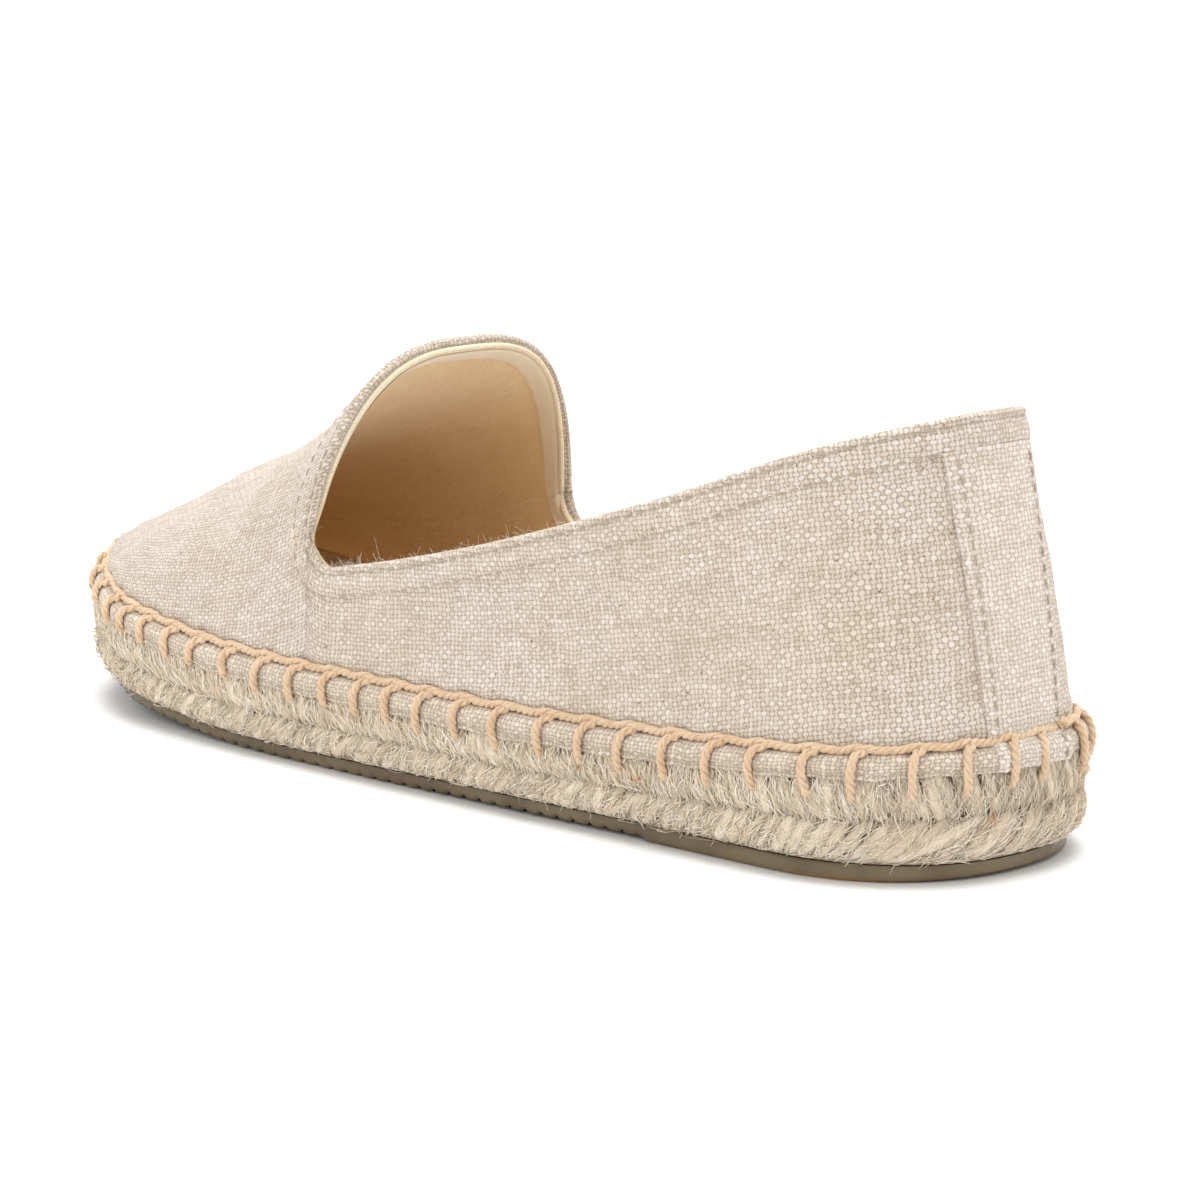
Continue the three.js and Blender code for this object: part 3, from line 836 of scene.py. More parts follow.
skinRelief = clothRelief()
clothPoints = skinPoints + skinNormals * skinRelief[:, None]
rimBase = clothPoints[rimSelf]


def rimSweep(profile):  # rows of points along the opening: (down, depth from the folded top)
    rows = [rimBase + rimDown * down - rimNormals * depth for down, depth in profile]
    threads = [np.stack([rimAlong, np.full(len(rimAlong), -run)], 1) for run in arc(np.array(profile), 0)]
    return np.array(rows), np.array(threads)


def arcProfile(radius, start, end, steps, down, depth):
    turn = np.linspace(start, end, steps)
    return [(down - radius * math.cos(t), depth + radius * math.sin(t)) for t in turn]


print("cloth of the upper")
linenMaterial = weaveFinish("natural_linen", linenCloth)
fold = upperShape["fold"]
foldProfile = arcProfile(fold, 0, math.pi / 2, 6, fold, 0) + [(1.6, fold), (2.6, fold), (4, fold)]
foldRows, foldThreads = rimSweep(foldProfile)
outerFaces, outerThreads = cleaned(skinFaces, skinThreads)
foldFaces = gridFaces(len(foldRows), len(rimLine))[:, ::-1]
foldUV = foldThreads.reshape(-1, 2)[foldFaces].reshape(-1, 2)
allPoints = np.concatenate([clothPoints, foldRows.reshape(-1, 3)])
allFaces = outerFaces + (foldFaces + len(clothPoints)).tolist()
upperPiece = makePiece("linen_upper", allPoints, allFaces, linenMaterial,
                       outerThreads + foldUV.tolist(), corners=True)
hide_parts("upper")
clothTree = BVHTree.FromPolygons(clothPoints.tolist(), outerFaces)

# lining: the inner face of the wall, and its rolled edge beside the fold
lining = {
    "facing": 6.2, "facingStep": 0.22, "roll": 0.66, "below": 0.45, "wall": 1.75, "sunk": 1.3,
    "skirt": 2.4, "skirtIn": 1.5,
}
foldDepth = 2 * fold + 1.75 * lining["roll"] - upperShape["band"]
inDepth = mix(foldDepth, lining["wall"], smoothStep(rimGap, 1.5, 7))
calm = smoothStep(rimGap, 0.5, 8)
liningPoints = (skinPoints - skinNormals * inDepth[:, None]
                + rimDown[rimIndex] * (lining["sunk"] * (1 - smoothStep(rimGap, 0, 3)))[:, None]
                + skinNormals * ((creases(skinPoints) + clothNoise(skinPoints)) * 0.8 * calm)[:, None]
                - skinNormals * (lining["facingStep"] * (
                    1 - smoothStep(rimGap, lining["facing"] - 0.6, lining["facing"])))[:, None])
liningFaces, liningThreads = cleaned(skinFaces[:, ::-1], skinThreads[:, ::-1])
footEdge = np.concatenate([featherSide[-1], featherSide[1][1:-1][::-1]])
footSelf, _ = closestOn(skinPoints, footEdge)
footTop = liningPoints[footSelf]
footLow = footTop.copy()
footLow[:, 2] -= lining["skirt"]
footIn = footLow.copy()
footIn[:, :2] -= edgeNormal * lining["skirtIn"]
skirt = np.array([footTop, footLow, footIn])
skirtFaces = gridFaces(3, len(footEdge), closed=True)
skirtThreads = np.stack(np.broadcast_arrays(np.append(edgeDistance[:-1], 0)[None, :-1],
                                            np.array([0, -2.4, -4])[:, None]), -1).reshape(-1, 2)
facingShade = 1 - smoothStep(rimGap, lining["facing"] - 0.5, lining["facing"])
makePiece("lining", np.concatenate([liningPoints, skirt.reshape(-1, 3)]),
          liningFaces + (skirtFaces + len(liningPoints)).tolist(), weaveFinish("cream_lining", liningCloth),
          liningThreads + skirtThreads[skirtFaces].reshape(-1, 2).tolist(), corners=True,
          shade=np.append(facingShade, np.zeros(skirt.size // 3)))
rollMiddle = (rimBase + rimDown * (lining["below"] + lining["roll"])
              - rimNormals * (fold + lining["roll"] * 0.9))
rollRows = [rollMiddle + (rimNormals * math.cos(turn) - rimDown * math.sin(turn)) * lining["roll"]
            for turn in np.linspace(-1.0, math.pi, 11)]
for down in (1.0, 2.2, 3.4):
    rollRows.append(rollRows[10] + rimDown * down + rimNormals * 0.12 * down)
rollRows = np.array(rollRows)
rollFaces = gridFaces(len(rollRows), len(rimLine))
rollThreads = np.stack(np.broadcast_arrays(rimAlong[None], np.arange(len(rollRows))[:, None] * 0.3), -1)
makePiece("lining_edge", rollRows.reshape(-1, 3), rollFaces, weaveFinish("cream_edge", rollCloth),
          rollThreads.reshape(-1, 2))

# hem: the turned strip of cloth between the cord and the jute
hem = {"rows": 12, "columns": 700, "puff": 0.45, "groove": 0.22, "tuck": 9, "width": 5.6}


def hemPoint(distance, down):  # down is 0 at the feather line and 1 at the lower edge
    puff = hem["puff"] * (1 - (1 - legShare(distance)) ** 3) * np.sin(np.clip(down, 0, 1) * math.pi) ** 0.7
    waver = 0.25 * np.sin(distance * 0.31) + 0.18 * np.sin(distance * 0.83 + 1)
    out = hemOutAt(np.clip(down, 0, 1)) - last["featherInset"] + puff
    out = out - hem["groove"] * hill(down, 0.8, 0.07) - np.maximum(0, down - 1) * hem["tuck"]

    def height(x):
        drop = featherAt(x) - hemAt(x)
        return featherTop(x) - drop * np.minimum(down, 1.04) - waver * np.clip(down - 0.3, 0, 0.7)

    return sidePoint(distance, out, height)


hemDistance = np.linspace(0, girth, hem["columns"], endpoint=False)
hemDown = np.concatenate([np.linspace(0, 1, hem["rows"] + 1), [1.04, 1.1, 1.25]])
hemGrid = np.array([hemPoint(hemDistance, np.full(hem["columns"], down)) for down in hemDown])
hemFaces = gridFaces(len(hemGrid), hem["columns"], closed=True)[:, ::-1]
hemThreads = np.stack(np.broadcast_arrays(hemDistance[None], -hemDown[:, None] * hem["width"]), -1)
makePiece("hem", hemGrid.reshape(-1, 3), hemFaces, weaveFinish("hem_linen", hemCloth),
          hemThreads.reshape(-1, 2))

# strip over the back seam


def wallAt(share, wantedY):  # wall point at a share of the height where the wall has the wanted y
    side = 1 if wantedY >= 0 else -1
    heel = quarter[side][:columns["heel"] + 12]
    shares = (heel[..., 2] - heel[:, :1, 2]) / (heel[:, -1:, 2] - heel[:, :1, 2])
    line = np.array([[np.interp(share, known, column[:, k]) for k in range(3)]
                     for known, column in zip(shares, heel)])
    place = np.interp(abs(wantedY), np.abs(line[:, 1]), np.arange(len(line)))
    return np.array([np.interp(place, np.arange(len(line)), line[:, k]) for k in range(3)])


def stripGrid():
    even = np.linspace(-1, 1, stripSize["columns"])
    across = np.sin(even * math.pi / 2) * 0.35 + even * 0.65
    rows = []
    for share in np.linspace(0, 1 - stripSize["topGap"] / stripSize["backHeight"], stripSize["rows"]):
        half = mix(stripSize["foot"], stripSize["top"], share)
        rows.append([wallAt(share, a * half) for a in across])
    ends = []
    for a in (across[0], across[-1]):
        gap = np.linalg.norm(featherXY - wallAt(0, a * stripSize["foot"])[None, :2], axis=1)
        distance = edgeDistance[:-1][gap.argmin()]
        ends.append(distance - girth if distance > girth / 2 else distance)
    foot = np.linspace(ends[0], ends[1], stripSize["columns"])
    lower = [hemPoint(foot, np.full(stripSize["columns"], down))
             for down in np.linspace(1.02, 0.08, stripSize["hemRows"])]
    return np.concatenate([np.array(lower), np.array(rows)]), across


stripBase, stripAcross = stripGrid()
stripNormal = unit(np.cross(np.gradient(stripBase, axis=1), np.gradient(stripBase, axis=0)))
stripFacing = np.sum(stripNormal * (stripBase - np.array([25, 0, 0])), -1, keepdims=True)
stripNormal *= np.sign(stripFacing)
edgeFall = 0.7 + 0.3 * np.sqrt(1 - np.abs(stripAcross) ** 12)
fromEdge = (1 - np.abs(stripAcross)) * 10.5
puffStrip = 0.18 * hill(fromEdge, 1.2, 0.8) - 0.22 * hill(fromEdge, 2.6, 0.5)
onHem = np.arange(len(stripBase)) < stripSize["hemRows"]
stripThin = 1 - 0.4 * onHem  # pressed flatter where it lies on the hem
stripLift = (stripSize["thick"] * edgeFall + puffStrip)[None, :, None] * stripThin[:, None, None]
stripTop = stripBase + stripNormal * stripLift
sinkLeft = stripTop[:, :1] - stripNormal[:, :1] * stripSize["sunk"]
sinkRight = stripTop[:, -1:] - stripNormal[:, -1:] * stripSize["sunk"]
stripWhole = np.concatenate([sinkLeft, stripTop, sinkRight], 1)
stripUp = arc(stripWhole, 0)[:, 12:13]
stripSide = np.concatenate([[-11.5], stripAcross * 10.5, [11.5]])[None]
stripThreads = np.stack(np.broadcast_arrays(stripSide, stripUp), -1)
stripPiece = makePiece("back_strip", stripWhole.reshape(-1, 3), gridFaces(*stripWhole.shape[:2]),
                       weaveFinish("strip_linen", stripCloth), stripThreads.reshape(-1, 2))
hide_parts("heel_strip")

# machine stitches


def stitchRow(points, normals, length, gap, radius, sink):  # one small tube for each stitch along a line
    run = arc(points, 0)
    starts = np.arange(0.4, run[-1] - length, length + gap)
    paths, outs = [], []
    for start in starts:
        at = start + np.linspace(0, length, 6)
        line = np.stack([np.interp(at, run, points[:, k]) for k in range(3)], 1)
        out = unit(np.stack([np.interp(at, run, normals[:, k]) for k in range(3)], 1))
        dip = (np.abs(np.linspace(-1, 1, 6)) ** 3)[:, None]
        paths.append(line + out * (radius - sink) - out * dip * (radius * 2.2))
        outs.append(out)
    return np.array(paths), np.array(outs)


def onCloth(gap):  # line at a distance below the edge of the opening, on the displaced cloth
    points, normals = [], []
    for k in range(3, len(rimLine) - 3):
        guess = rimLine[k] + rimDown[k] * gap + rimNormals[k] * 0.3
        place, normal, _, _ = clothTree.find_nearest(Vector(guess))
        points.append(place)
        normals.append(normal)
    return np.array(points), np.array(normals)


thread = {
    "tones": stops((0, 156, 140, 116), (0.5, 184, 168, 146), (1, 212, 200, 182)),
    "stain": linear(220, 210, 190), "length": 2.3, "gap": 0.55, "radius": 0.24, "sunk": 0.12, "thick": 0.2,
    "stripColumns": (3, -4), "stripSunk": 0.1,
    "hemLength": 2.2, "hemGap": 0.6, "hemRadius": 0.2, "hemDown": 0.8,
}
size = (thread["length"], thread["gap"], thread["radius"])
sewnRows = [stitchRow(*onCloth(row), *size, thread["sunk"]) for row in upperShape["rows"]]
for column in thread["stripColumns"]:
    sewnRows.append(stitchRow(stripTop[:, column], stripNormal[:, column], *size, thread["stripSunk"]))
hemRound = np.append(hemDistance, 0)
sewnRows.append(stitchRow(hemPoint(hemRound, np.full(len(hemRound), thread["hemDown"])), outFrom(hemRound),
                          thread["hemLength"], thread["hemGap"], thread["hemRadius"], thread["sunk"]))
sewn, sewnOuts = (np.concatenate(part) for part in zip(*sewnRows))
points, faces, threads = tubes(sewn, sewnOuts, thread["radius"], thread["thick"], 6)
makePiece("machine_stitches", points, faces, cordFinish("sewing_thread", thread), threads)

# blanket stitch

print("blanket stitch")
cord = {
    "radius": 0.48, "twist": 0.4, "pitch": 4.4, "plies": 3, "sides": 5, "step": 0.42,
    "tones": stops((0, 200, 166, 130), (0.45, 219, 189, 155), (1, 233, 209, 180)),
    "stain": linear(238, 216, 190),
}
legLengths = {"x": [0, 60, 103, 150, 200, 252], "length": [9.2, 9.0, 8.4, 7.4, 6.0, 5.4]}
legLengthAt = curve(legLengths, "length")


def sideProfile(distance):  # (out, z) from above the feather line down over hem and jute
    point, normal, x = around(np.array([distance]))
    x = float(x[0])
    low = float(hemLow(x))
    top = float(featherTop(x))
    slope = float(mix(0.15, 1.6, smoothStep(x, 185, 250)))
    rows = [(-last["featherInset"] - 3 * slope, top + 3), (-last["featherInset"], top)]
    for down in np.linspace(0, 1, 9)[1:]:
        rows.append((float(hemOutAt(down)) - last["featherInset"] + 0.1, mix(top, low, down)))
    rows += [(0.2, low - 0.6), (0.1, low - 2), (0.1, low - 12)]
    return point[0], normal[0], np.array(rows)


def cordPoint(distance, down, off):  # down along the side from the feather line, off = out from the surface
    point, normal, rows = sideProfile(distance)
    run = arc(rows, 0)
    run -= run[1]

    def at(place):
        return np.array([np.interp(place, run, rows[:, k]) for k in range(2)])

    tangent = unit(at(down + 0.4) - at(down - 0.4))
    place = at(down) + np.array([-tangent[1], tangent[0]]) * off
    flat = point + normal * place[0]
    return np.array([flat[0], flat[1], place[1]])


def smoothLine(points, step):  # even steps along a rounded line through the points
    ends = np.vstack([2 * points[0] - points[1], points, 2 * points[-1] - points[-2]])
    fine = []
    for a, b, c, d in zip(ends, ends[1:], ends[2:], ends[3:]):
        for t in np.linspace(0, 1, 12, endpoint=False):
            fine.append(0.5 * (2 * b + (c - a) * t + (2 * a - 5 * b + 4 * c - d) * t * t
                               + (3 * b - a - 3 * c + d) * t ** 3))
    fine = np.array(fine + [points[-1]])
    run = arc(fine, 0)
    at = np.linspace(0, run[-1], max(8, int(run[-1] / step)))
    return np.stack([np.interp(at, run, fine[:, k]) for k in range(3)], 1)


def windCord(line, out, phase, shift=0.0):  # the plies of one length of cord
    along = unit(np.gradient(line, axis=0))
    side = unit(np.cross(along, out))
    lift = np.cross(side, along)
    turn = arc(line, 0) / cord["pitch"] * 2 * math.pi + phase
    made = []
    for ply in range(cord["plies"]):
        angle = (turn + ply * 2 * math.pi / cord["plies"])[:, None]
        path = line + (side * np.cos(angle) + lift * np.sin(angle)) * cord["twist"]
        points, faces, threads = tubes(path[None], out[None], cord["radius"], cord["radius"], cord["sides"])
        made.append((points, faces, threads + np.array([shift, 0])))
    return made


def joined(parts):  # one mesh from several
    faces, start = [], 0
    for points, quads, _ in parts:
        faces += [[k + start for k in face] for face in quads]
        start += len(points)
    return np.concatenate([part[0] for part in parts]), faces, np.concatenate([part[2] for part in parts])


def blanketStitch():
    parts = []
    for i, leg in enumerate(legs):
        nextLeg = legs[(i + 1) % len(legs)] + (girth if i + 1 == len(legs) else 0)
        _, _, x = around(np.array([nextLeg]))
        long = float(legLengthAt(x[0])) + random.uniform(-0.5, 0.5)
        lean = random.uniform(-0.5, 0.7)
        sag = random.uniform(-0.2, 0.25)
        nextLeg += random.uniform(-0.4, 0.4)
        span = nextLeg - leg
        knots = [(leg + 0.2, 0.5, 0.1), (leg + 0.9, -0.35, 0.75), (leg + 2.2, -0.85, 1.05),
                 (leg + span * 0.4, -0.6 + sag, 0.85), (leg + span * 0.7, -0.15 + sag, 0.8),
                 (nextLeg - 1.6, 0.05, 1.0), (nextLeg + 0.2, 0.15, 1.5), (nextLeg + 1.5, 0.35, 1.1),
                 (nextLeg + 1.5, 1.1, 0.6), (nextLeg + 0.4, 1.7, 0.8), (nextLeg - 0.1, 2.8, 0.85),
                 (nextLeg - 0.3 + lean * 0.4, long * 0.55, 0.85), (nextLeg + lean * 0.8, long * 0.85, 0.7),
                 (nextLeg + lean, long, -0.2), (nextLeg + lean, long + 0.9, -1.6)]
        line = smoothLine(np.array([cordPoint(*knot) for knot in knots]), cord["step"])
        out = np.broadcast_to(outFrom(np.array([(leg + nextLeg) / 2]), 0.25), line.shape)
        parts += windCord(line, out, random.uniform(0, 6), i * 3.1)
    return joined(parts)


cordMaterial = cordFinish("peach_cord", cord)
points, faces, threads = blanketStitch()
makePiece("blanket_stitch", points, faces, cordMaterial, threads)

# jute

rowShape = {  # x is the level from rubber to hem, out the middle of the strands from the jute edge
    "x": [0, 0.05, 0.15, 0.28, 0.42, 0.5, 0.58, 0.74, 0.92, 1],
    "out": [-3.6, -2.7, -1.35, -0.75, -0.95, -1.7, -1.0, -0.65, -0.8, -1.2],
}
rowOutAt = curve(rowShape, "out")


def juteLevel(x, level):
    return mix(juteLow(x), hemLow(x) + 0.4, level)


def sideTubes(distance, level, out, rise, wide, thick, sides):  # tubes lying along the side of the jute
    flat, heights = distance.reshape(-1), level.reshape(-1)
    paths = sidePoint(flat, out.reshape(-1), lambda x: juteLevel(x, heights)).reshape(*distance.shape, 3)
    paths[..., 2] = np.maximum(paths[..., 2], 0.1)
    return tubes(paths, outFrom(flat, rise).reshape(paths.shape), wide, thick, sides)


def juteStrands(low, high, pitch, slant, width, thick, seed):
    pick = np.random.default_rng(seed)
    count = int(girth / pitch)
    steps = 9
    start = (np.arange(count) * girth / count + pick.uniform(-0.5, 0.5, count))[:, None]
    t = np.linspace(0, 1, steps)[None]
    _, _, x = around(start[:, 0])
    height = (juteLevel(x, high) - juteLevel(x, low))[:, None]
    tilt = slant + pick.normal(0, 0.14, (count, 1))
    sway = pick.uniform(-0.5, 0.5, (count, 1)) * np.sin(t * math.pi)
    distance = start + (t - 0.5) * height / np.tan(tilt) + sway
    level = mix(low, high, mix(0.17 if low == 0 else -0.02, 1.02, t)) + np.zeros_like(distance)
    out = rowOutAt(level) + pick.uniform(-0.25, 0.2, (count, 1))
    taper = 0.55 + 0.45 * np.sin(t * math.pi) ** 0.5
    wide = width * taper * pick.uniform(0.75, 1.2, (count, 1))
    points, faces, threads = sideTubes(distance, level, out, 0.0, wide, thick * taper, 8)
    return points, faces, threads, np.repeat(pick.uniform(0, 1, count), steps * 8)


def juteHairs(count, low, high, slant, spread, length, lift, radius, seed):
    pick = np.random.default_rng(seed)
    steps = 4
    t = np.linspace(0, 1, steps)[None]
    middle = pick.uniform(0, girth, (count, 1))
    level = pick.uniform(low, high, (count, 1))
    angle = slant + pick.normal(0, spread, (count, 1))
    long = length * pick.uniform(0.5, 1.25, (count, 1))
    _, _, x = around(middle[:, 0])
    tall = (juteLevel(x, 1.0) - juteLevel(x, 0.0))[:, None]
    bend = pick.normal(0, 0.35, (count, 1))
    run = (t - 0.5) * long
    distance = middle + run * np.cos(angle) + bend * (t * (1 - t)) * long * 0.9
    lowest = np.where(pick.uniform(0, 1, (count, 1)) < 0.05, -0.1, pick.uniform(0.01, 0.06, (count, 1)))
    z = np.maximum(level + run * np.sin(angle) / tall, lowest)
    z = np.where(z > 1.05, 2.1 - z, z)
    rise = pick.exponential(lift, (count, 1))
    free = pick.choice([0, 1], (count, 1), p=[0.7, 0.3])
    out = rowOutAt(z) + 0.72 + rise * (1 - free) * np.sin(t * math.pi) + free * rise * 2.4 * t ** 1.6
    out = np.maximum(out, -2.85 + rise * 0.3)
    wide = radius * pick.uniform(0.6, 1.4, (count, 1)) * np.array([[0.5, 1, 0.9, 0.25]])
    points, faces, threads = sideTubes(distance, z, out, 0.15, wide, wide * 0.8, 3)
    return points, faces, threads, np.repeat(np.clip(pick.normal(0.55, 0.25, count), 0, 1), steps * 3)


def makeWhiskers(name, bases, outs, hairs):  # loose hairs standing off a line or a spot
    pick = np.random.default_rng(hairs["seed"])
    count = hairs["count"]
    at = pick.integers(0, len(bases), count)
    ahead = unit(outs[at] + pick.normal(0, hairs["spread"], (count, 3)))[:, None]
    bend = pick.normal(0, 0.5, (count, 1, 3))
    long = (hairs["length"] * pick.uniform(0.4, 1.4, count))[:, None, None]
    t = np.linspace(0, 1, 4)[None, :, None]
    paths = (bases[at] - outs[at] * 0.15)[:, None] + (ahead * t + bend * t * t) * long
    paths[..., 2] = np.maximum(paths[..., 2], 0.1)
    side = np.broadcast_to(unit(np.array([0.3, 0.5, 0.8])), paths.shape)
    wide = hairs["radius"] * np.array([1, 0.9, 0.7, 0.4])[None] * pick.uniform(0.7, 1.3, (count, 1))
    points, faces, threads = tubes(paths, side, wide, wide, 3)
    finish = fibreFinish(hairs["finish"], [(0, linear(*hairs["dark"])), (1, linear(*hairs["light"]))])
    shade = np.repeat(pick.uniform(0.3, 1, count), 12)
    makePiece(name, points, faces, finish, threads, shade=shade)


rimTop = (rimBase + rimNormals * 0.1)[4:-4]
makeWhiskers("linen_whiskers", rimTop, (rimNormals - rimDown * 0.8)[4:-4], {
    "count": 1100, "length": 1.1, "radius": 0.035, "spread": 0.7, "seed": 31, "slot": "linen",
    "finish": "linen_hair", "dark": (190, 172, 148), "light": (240, 232, 220)})
rustSpots = [(488.5, 9.0), (503.5, 9.5), (574.0, 13.5)]  # distance round the sole, and below the feather line
rustBase = np.array([cordPoint(at, down, 0.9) for at, down in rustSpots])
makeWhiskers("loose_threads", rustBase, outFrom(np.array([at for at, _ in rustSpots]), -0.6), {
    "count": 27, "length": 1.5, "radius": 0.09, "spread": 0.9, "seed": 32, "slot": "cord",
    "finish": "rust_thread", "dark": (168, 104, 62), "light": (214, 160, 116)})

# knot at the back, with the frayed end of the cord
knot = {"at": 9.5, "down": -0.4, "size": 1.0, "turns": 1.7, "steps": 26, "phase": 0.5}
knotLine = []
for wind in np.linspace(0, 1, knot["steps"]):
    turn = wind * knot["turns"] * 2 * math.pi
    knotLine.append(cordPoint(knot["at"] + math.sin(turn) * knot["size"],
                              knot["down"] + math.cos(turn) * knot["size"], 1.3 + 0.7 * wind))
knotLine = np.array(knotLine)
knotAt = np.array([knot["at"]])
points, faces, threads = joined(windCord(knotLine, np.broadcast_to(outFrom(knotAt, 0.2), knotLine.shape),
                                         knot["phase"]))
makePiece("cord_knot", points, faces, cordMaterial, threads)
frayBase = np.array([cordPoint(13.4, 8.4, 0.8), knotLine[-1]])
makeWhiskers("cord_fray", frayBase, np.concatenate([outFrom(knotAt, rise) for rise in (-1.2, 0.8)]), {
    "count": 44, "length": 2.0, "radius": 0.07, "spread": 0.5, "seed": 33, "slot": "cord",
    "finish": "frayed_cord", "dark": (206, 170, 130), "light": (240, 214, 184)})

print("jute")
juteMaterial = juteFinish("jute_braid", jute)
# the core gets the darker tones: painted shade in the gaps between the strands
coreMaterial = juteFinish("jute_core", juteInShade)
core = {
    "columns": 520, "topOut": -4.4,
    "profile": [(-8, 0.0), (-3.3, 0.0), (-2.0, 0.12), (-1.5, 0.4), (-2.3, 0.5), (-1.5, 0.6), (-1.6, 0.9),
                (-2.6, 1.0)],  # out from the jute edge, level from rubber to hem
}
coreDistance = np.linspace(0, girth, core["columns"], endpoint=False)
coreRings = [sidePoint(coreDistance, np.full(core["columns"], out), lambda x: juteLevel(x, level))
             for out, level in core["profile"]]
coreRings.append(sidePoint(coreDistance, np.full(core["columns"], core["topOut"]),
                           lambda x: featherTop(x) - last["juteDrop"]))
corePoints = np.array(coreRings)
coreFaces = gridFaces(len(corePoints), core["columns"], closed=True)[:, ::-1].tolist()
coreThreads = np.stack(np.broadcast_arrays(coreDistance[None], np.arange(len(corePoints))[:, None] * 2.0), -1)
topStart = core["columns"] * (len(corePoints) - 1)


def ladder(first, count, up):  # strips from side to side across a loop
    made = []
    for j in range(count // 2):
        quad = [first + j, first + j + 1, first + (count - j - 1) % count, first + (count - j) % count]
        quad = list(dict.fromkeys(quad))
        if len(quad) > 2:
            made.append(quad if up else quad[::-1])
    return made


coreFaces += ladder(topStart, core["columns"], True) + ladder(0, core["columns"], False)
corePiece = makePiece("jute_core", corePoints.reshape(-1, 3), coreFaces, coreMaterial,
                      coreThreads.reshape(-1, 2), shade=np.full(corePoints.size // 3, 0.3))
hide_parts("jute_sole")
braidRows = [  # levels, pitch, slant, width, thickness, seed
    ("jute_lower_braid", 0.0, 0.5, 3.3, 46, 1.45, 1.0, 11),
    ("jute_upper_braid", 0.5, 1.0, 2.7, 112, 1.35, 0.9, 12),
]
for name, low, high, pitch, slant, width, thick, seed in braidRows:
    points, faces, threads, shade = juteStrands(low, high, pitch, math.radians(slant), width, thick, seed)
    makePiece(name, points, faces, juteMaterial, threads, shade=shade)
hairTones = stops((0, 178, 156, 126), (0.35, 220, 202, 176), (0.75, 239, 226, 206), (1, 249, 242, 229))
hairMaterial = fibreFinish("jute_fibre", hairTones)
hairRows = [  # count, levels, slant, spread, length, lift, radius, seed
    ("jute_low_fibres", 6400, 0.02, 0.3, 44, 0.4, 4.4, 0.26, 0.1, 21),
    ("jute_lower_fibres", 6400, 0.2, 0.5, 46, 0.4, 4.4, 0.26, 0.1, 24),
    ("jute_upper_fibres", 6400, 0.5, 0.78, 104, 0.4, 4.4, 0.26, 0.1, 22),
    ("jute_high_fibres", 6400, 0.7, 1.0, 98, 0.4, 4.4, 0.26, 0.1, 25),
    ("jute_stray_fibres", 520, 0.0, 1.0, 80, 1.2, 7.0, 1.1, 0.055, 23),
]
for name, count, low, high, slant, *rest in hairRows:
    points, faces, threads, shade = juteHairs(count, low, high, math.radians(slant), *rest)
    makePiece(name, points, faces, hairMaterial, threads, shade=shade)

# insole

insole = {"columns": 360, "rings": [(-5.3, 0.3), (-5.3, 1.4), (-5.8, 1.9), (-7.5, 2.0)]}  # out, over the jute
insoleDistance = np.linspace(0, girth, insole["columns"], endpoint=False)
insoleRings = np.array([
    sidePoint(insoleDistance, np.full(insole["columns"], out),
              lambda x: featherTop(x) - last["juteDrop"] + rise)
    for out, rise in insole["rings"]])
insoleFaces = gridFaces(len(insoleRings), insole["columns"], closed=True)[:, ::-1].tolist()
insoleFaces += ladder(insole["columns"] * (len(insoleRings) - 1), insole["columns"], True)
insoleFaces += ladder(0, insole["columns"], False)
insolePoints = insoleRings.reshape(-1, 3)
# The insole wears the lining cloth, with its painted glow.
insolePiece = makePiece("insole_cloth", insolePoints, insoleFaces, weaveFinish("insole_cloth", liningCloth),
                        insolePoints[:, :2])
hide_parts("insole")

# outsole

rubber = {
    "inset": 3.0, "breast": 63.0, "step": 0.7, "ridgePitch": 4.0, "ridgeDepth": 0.55, "stationStep": 0.5,
    "dark": linear(95, 82, 57), "light": linear(121, 106, 79), "dust": linear(150, 140, 118),
    # glow colour and its span in x: painted glow at the bottom edge of the heel
    "paintedGlow": linear(150, 108, 58), "paintedGlowFrom": -0.104, "paintedGlowTo": -0.09,
}


def underside(x):
    breast = rubber["breast"]
    lift = np.interp(x, [0, 12, 26, breast, breast + 0.8, 112, 132], [0.6, 0.2, 0, 0, rubber["step"], 0.5, 0])
    wave = np.maximum(0, np.sin(x * 2 * math.pi / rubber["ridgePitch"])) ** 0.6
    ridged = smoothStep(x, breast + 1.5, breast + 2.5) * (1 - smoothStep(x, 240, 246))
    return springAt(x) + lift + wave * rubber["ridgeDepth"] * ridged


def soleStations():
    turn = np.linspace(0, math.pi / 2, 41)
    heel = last["heelRound"] * (1 - np.cos(turn))
    straight = np.arange(last["heelRound"] + 0.5, last["length"] - last["toeRound"], rubber["stationStep"])
    toe = last["length"] - last["toeRound"] * (1 - np.sin(np.linspace(0, math.pi / 2, 97)))
    return np.concatenate([heel, straight, toe])


print("soles")
soleX = soleStations()
soleRings = []
for out, rise in ((-0.9, None), (-0.15, 0.35), (0, 0.8), (0, 1.6), (-0.2, 2.4)):
    ring, station = ringXY(soleX, out - rubber["inset"])
    top = springAt(station) + rubberAt(station)
    z = underside(station) if rise is None else np.minimum(underside(station) + rise, top)
    soleRings.append(np.concatenate([ring, z[:, None]], 1))
ring, station = ringXY(soleX, -rubber["inset"] - 0.2)
soleRings.append(np.concatenate([ring, (springAt(station) + rubberAt(station))[:, None]], 1))
soleRings = np.array(soleRings)
ringCount = soleRings.shape[1]
soleFaces = gridFaces(len(soleRings), ringCount, closed=True)[:, ::-1].tolist()
soleFaces += ladder(ringCount * (len(soleRings) - 1), ringCount, True) + ladder(0, ringCount, False)
solePoints = soleRings.reshape(-1, 3)
rubberPiece = makePiece("rubber_outsole", solePoints, soleFaces, rubberFinish("olive_rubber", rubber),
                        solePoints[:, :2])
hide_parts("outsole")

# floor, light and camera

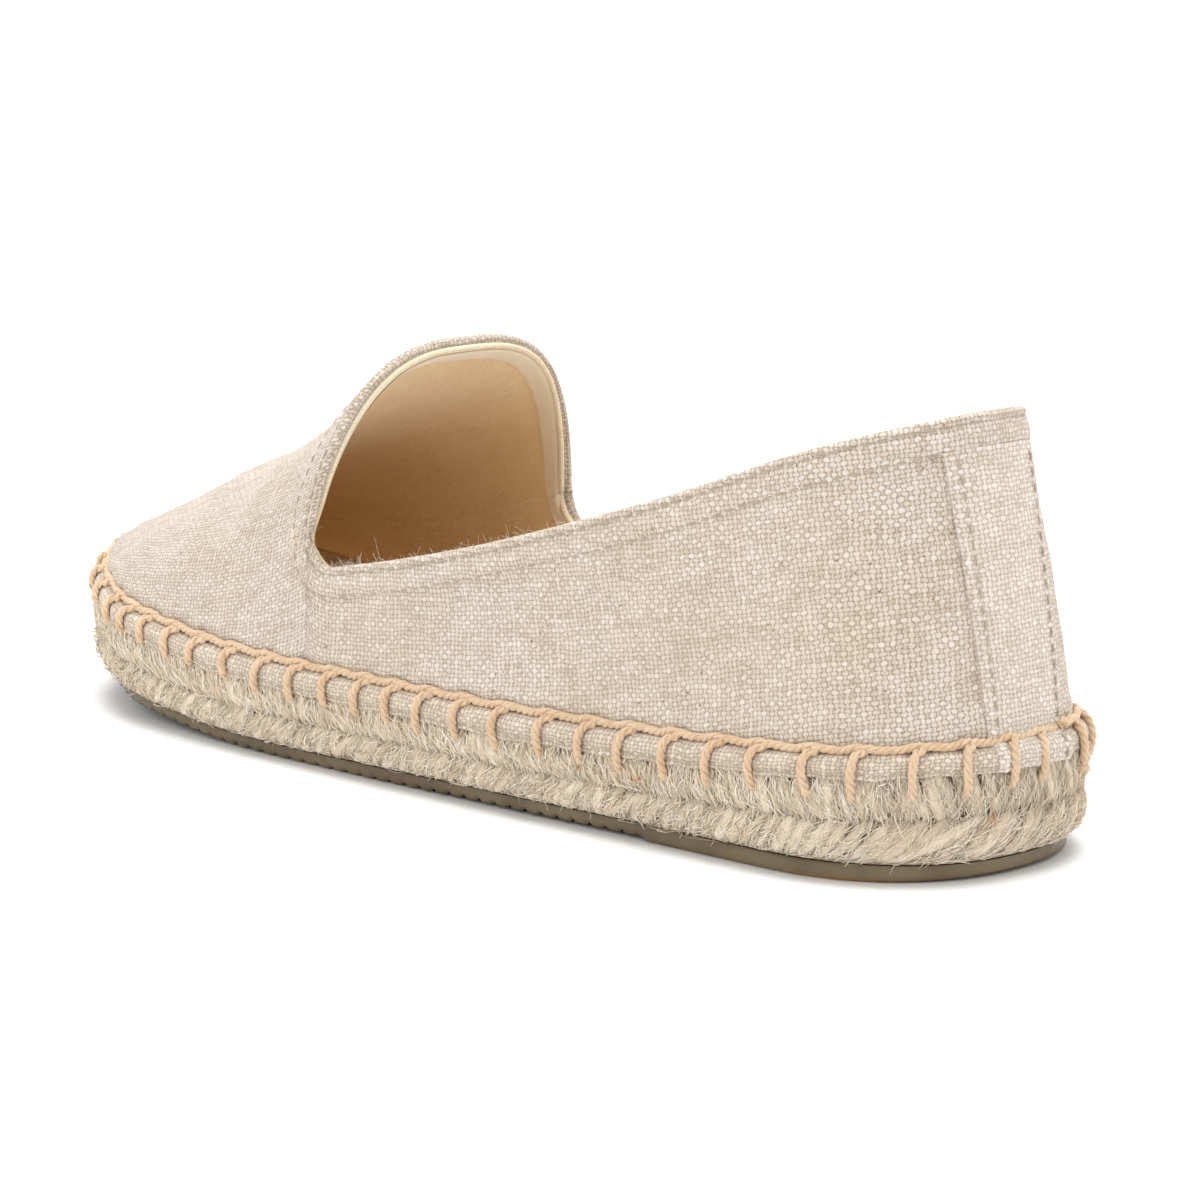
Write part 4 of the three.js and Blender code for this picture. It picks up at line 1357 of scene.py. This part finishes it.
view = {"eye": (-629.38, 588.12, 202.29), "target": (-14.44, -3.11, 33.22), "lens": 135.57, "roll": 0.16}
light = {"world": 1.0, "top": 18.0, "key": 1.6, "floor": 0.97, "floorSize": 30.0}


def lookAt(item, eye, target, roll=0.0):
    ahead = (Vector(target) - Vector(eye)).normalized()
    right = ahead.cross(Vector((0, 0, 1))).normalized()
    up = right.cross(ahead)
    turned = Matrix((right, up, -ahead)).transposed().to_4x4()
    item.matrix_world = Matrix.Translation(Vector(eye)) @ turned @ Matrix.Rotation(math.radians(roll), 4, "Z")


def areaLight(name, eye, target, size, power):
    lamp = bpy.data.lights.new(name, "AREA")
    lamp.shape = "SQUARE"
    lamp.size = size
    lamp.energy = power
    item = bpy.data.objects.new(name, lamp)
    bpy.context.scene.collection.objects.link(item)
    lookAt(item, eye, target)


def makeFloor():
    size = light["floorSize"]
    mesh = bpy.data.meshes.new("floor")
    corners = [(-size, -size, 0), (size, -size, 0), (size, size, 0), (-size, size, 0)]
    mesh.from_pydata(corners, [], [(0, 1, 2, 3)])
    paper = Finish("white_floor", Roughness=0.7, Specular_IOR_Level=0.2)
    cloud = paper.noise(paper.place(), 1.5, 2.0)
    paper.feed("Base Color", paper.blend(cloud * 0.15, (light["floor"],) * 3, (light["floor"] * 0.98,) * 3))
    mesh.materials.append(paper.material)
    floor = bpy.data.objects.new("floor", mesh)
    bpy.context.scene.collection.objects.link(floor)


print("floor, light and camera")
makeFloor()
world = bpy.data.worlds.new("studio")
world.use_nodes = True
world.node_tree.nodes["Background"].inputs["Color"].default_value = (1, 1, 1, 1)
world.node_tree.nodes["Background"].inputs["Strength"].default_value = light["world"]
bpy.context.scene.world = world
areaLight("top_softbox", (0.1, -0.15, 1.3), (0, 0, 0.02), 1.1, light["top"])
areaLight("key_softbox", (-0.1, 1.2, 0.9), (0, 0, 0.03), 0.6, light["key"])
bpy.context.scene.view_settings.view_transform = "Standard"
cameraData = bpy.data.cameras.new("camera")
cameraData.lens = view["lens"]
cameraData.sensor_width = 36
cameraData.clip_start = 0.01
camera = bpy.data.objects.new("camera", cameraData)
bpy.context.scene.collection.objects.link(camera)
lookAt(camera, [v * 0.001 for v in view["eye"]], [v * 0.001 for v in view["target"]], view["roll"])
bpy.context.scene.camera = camera
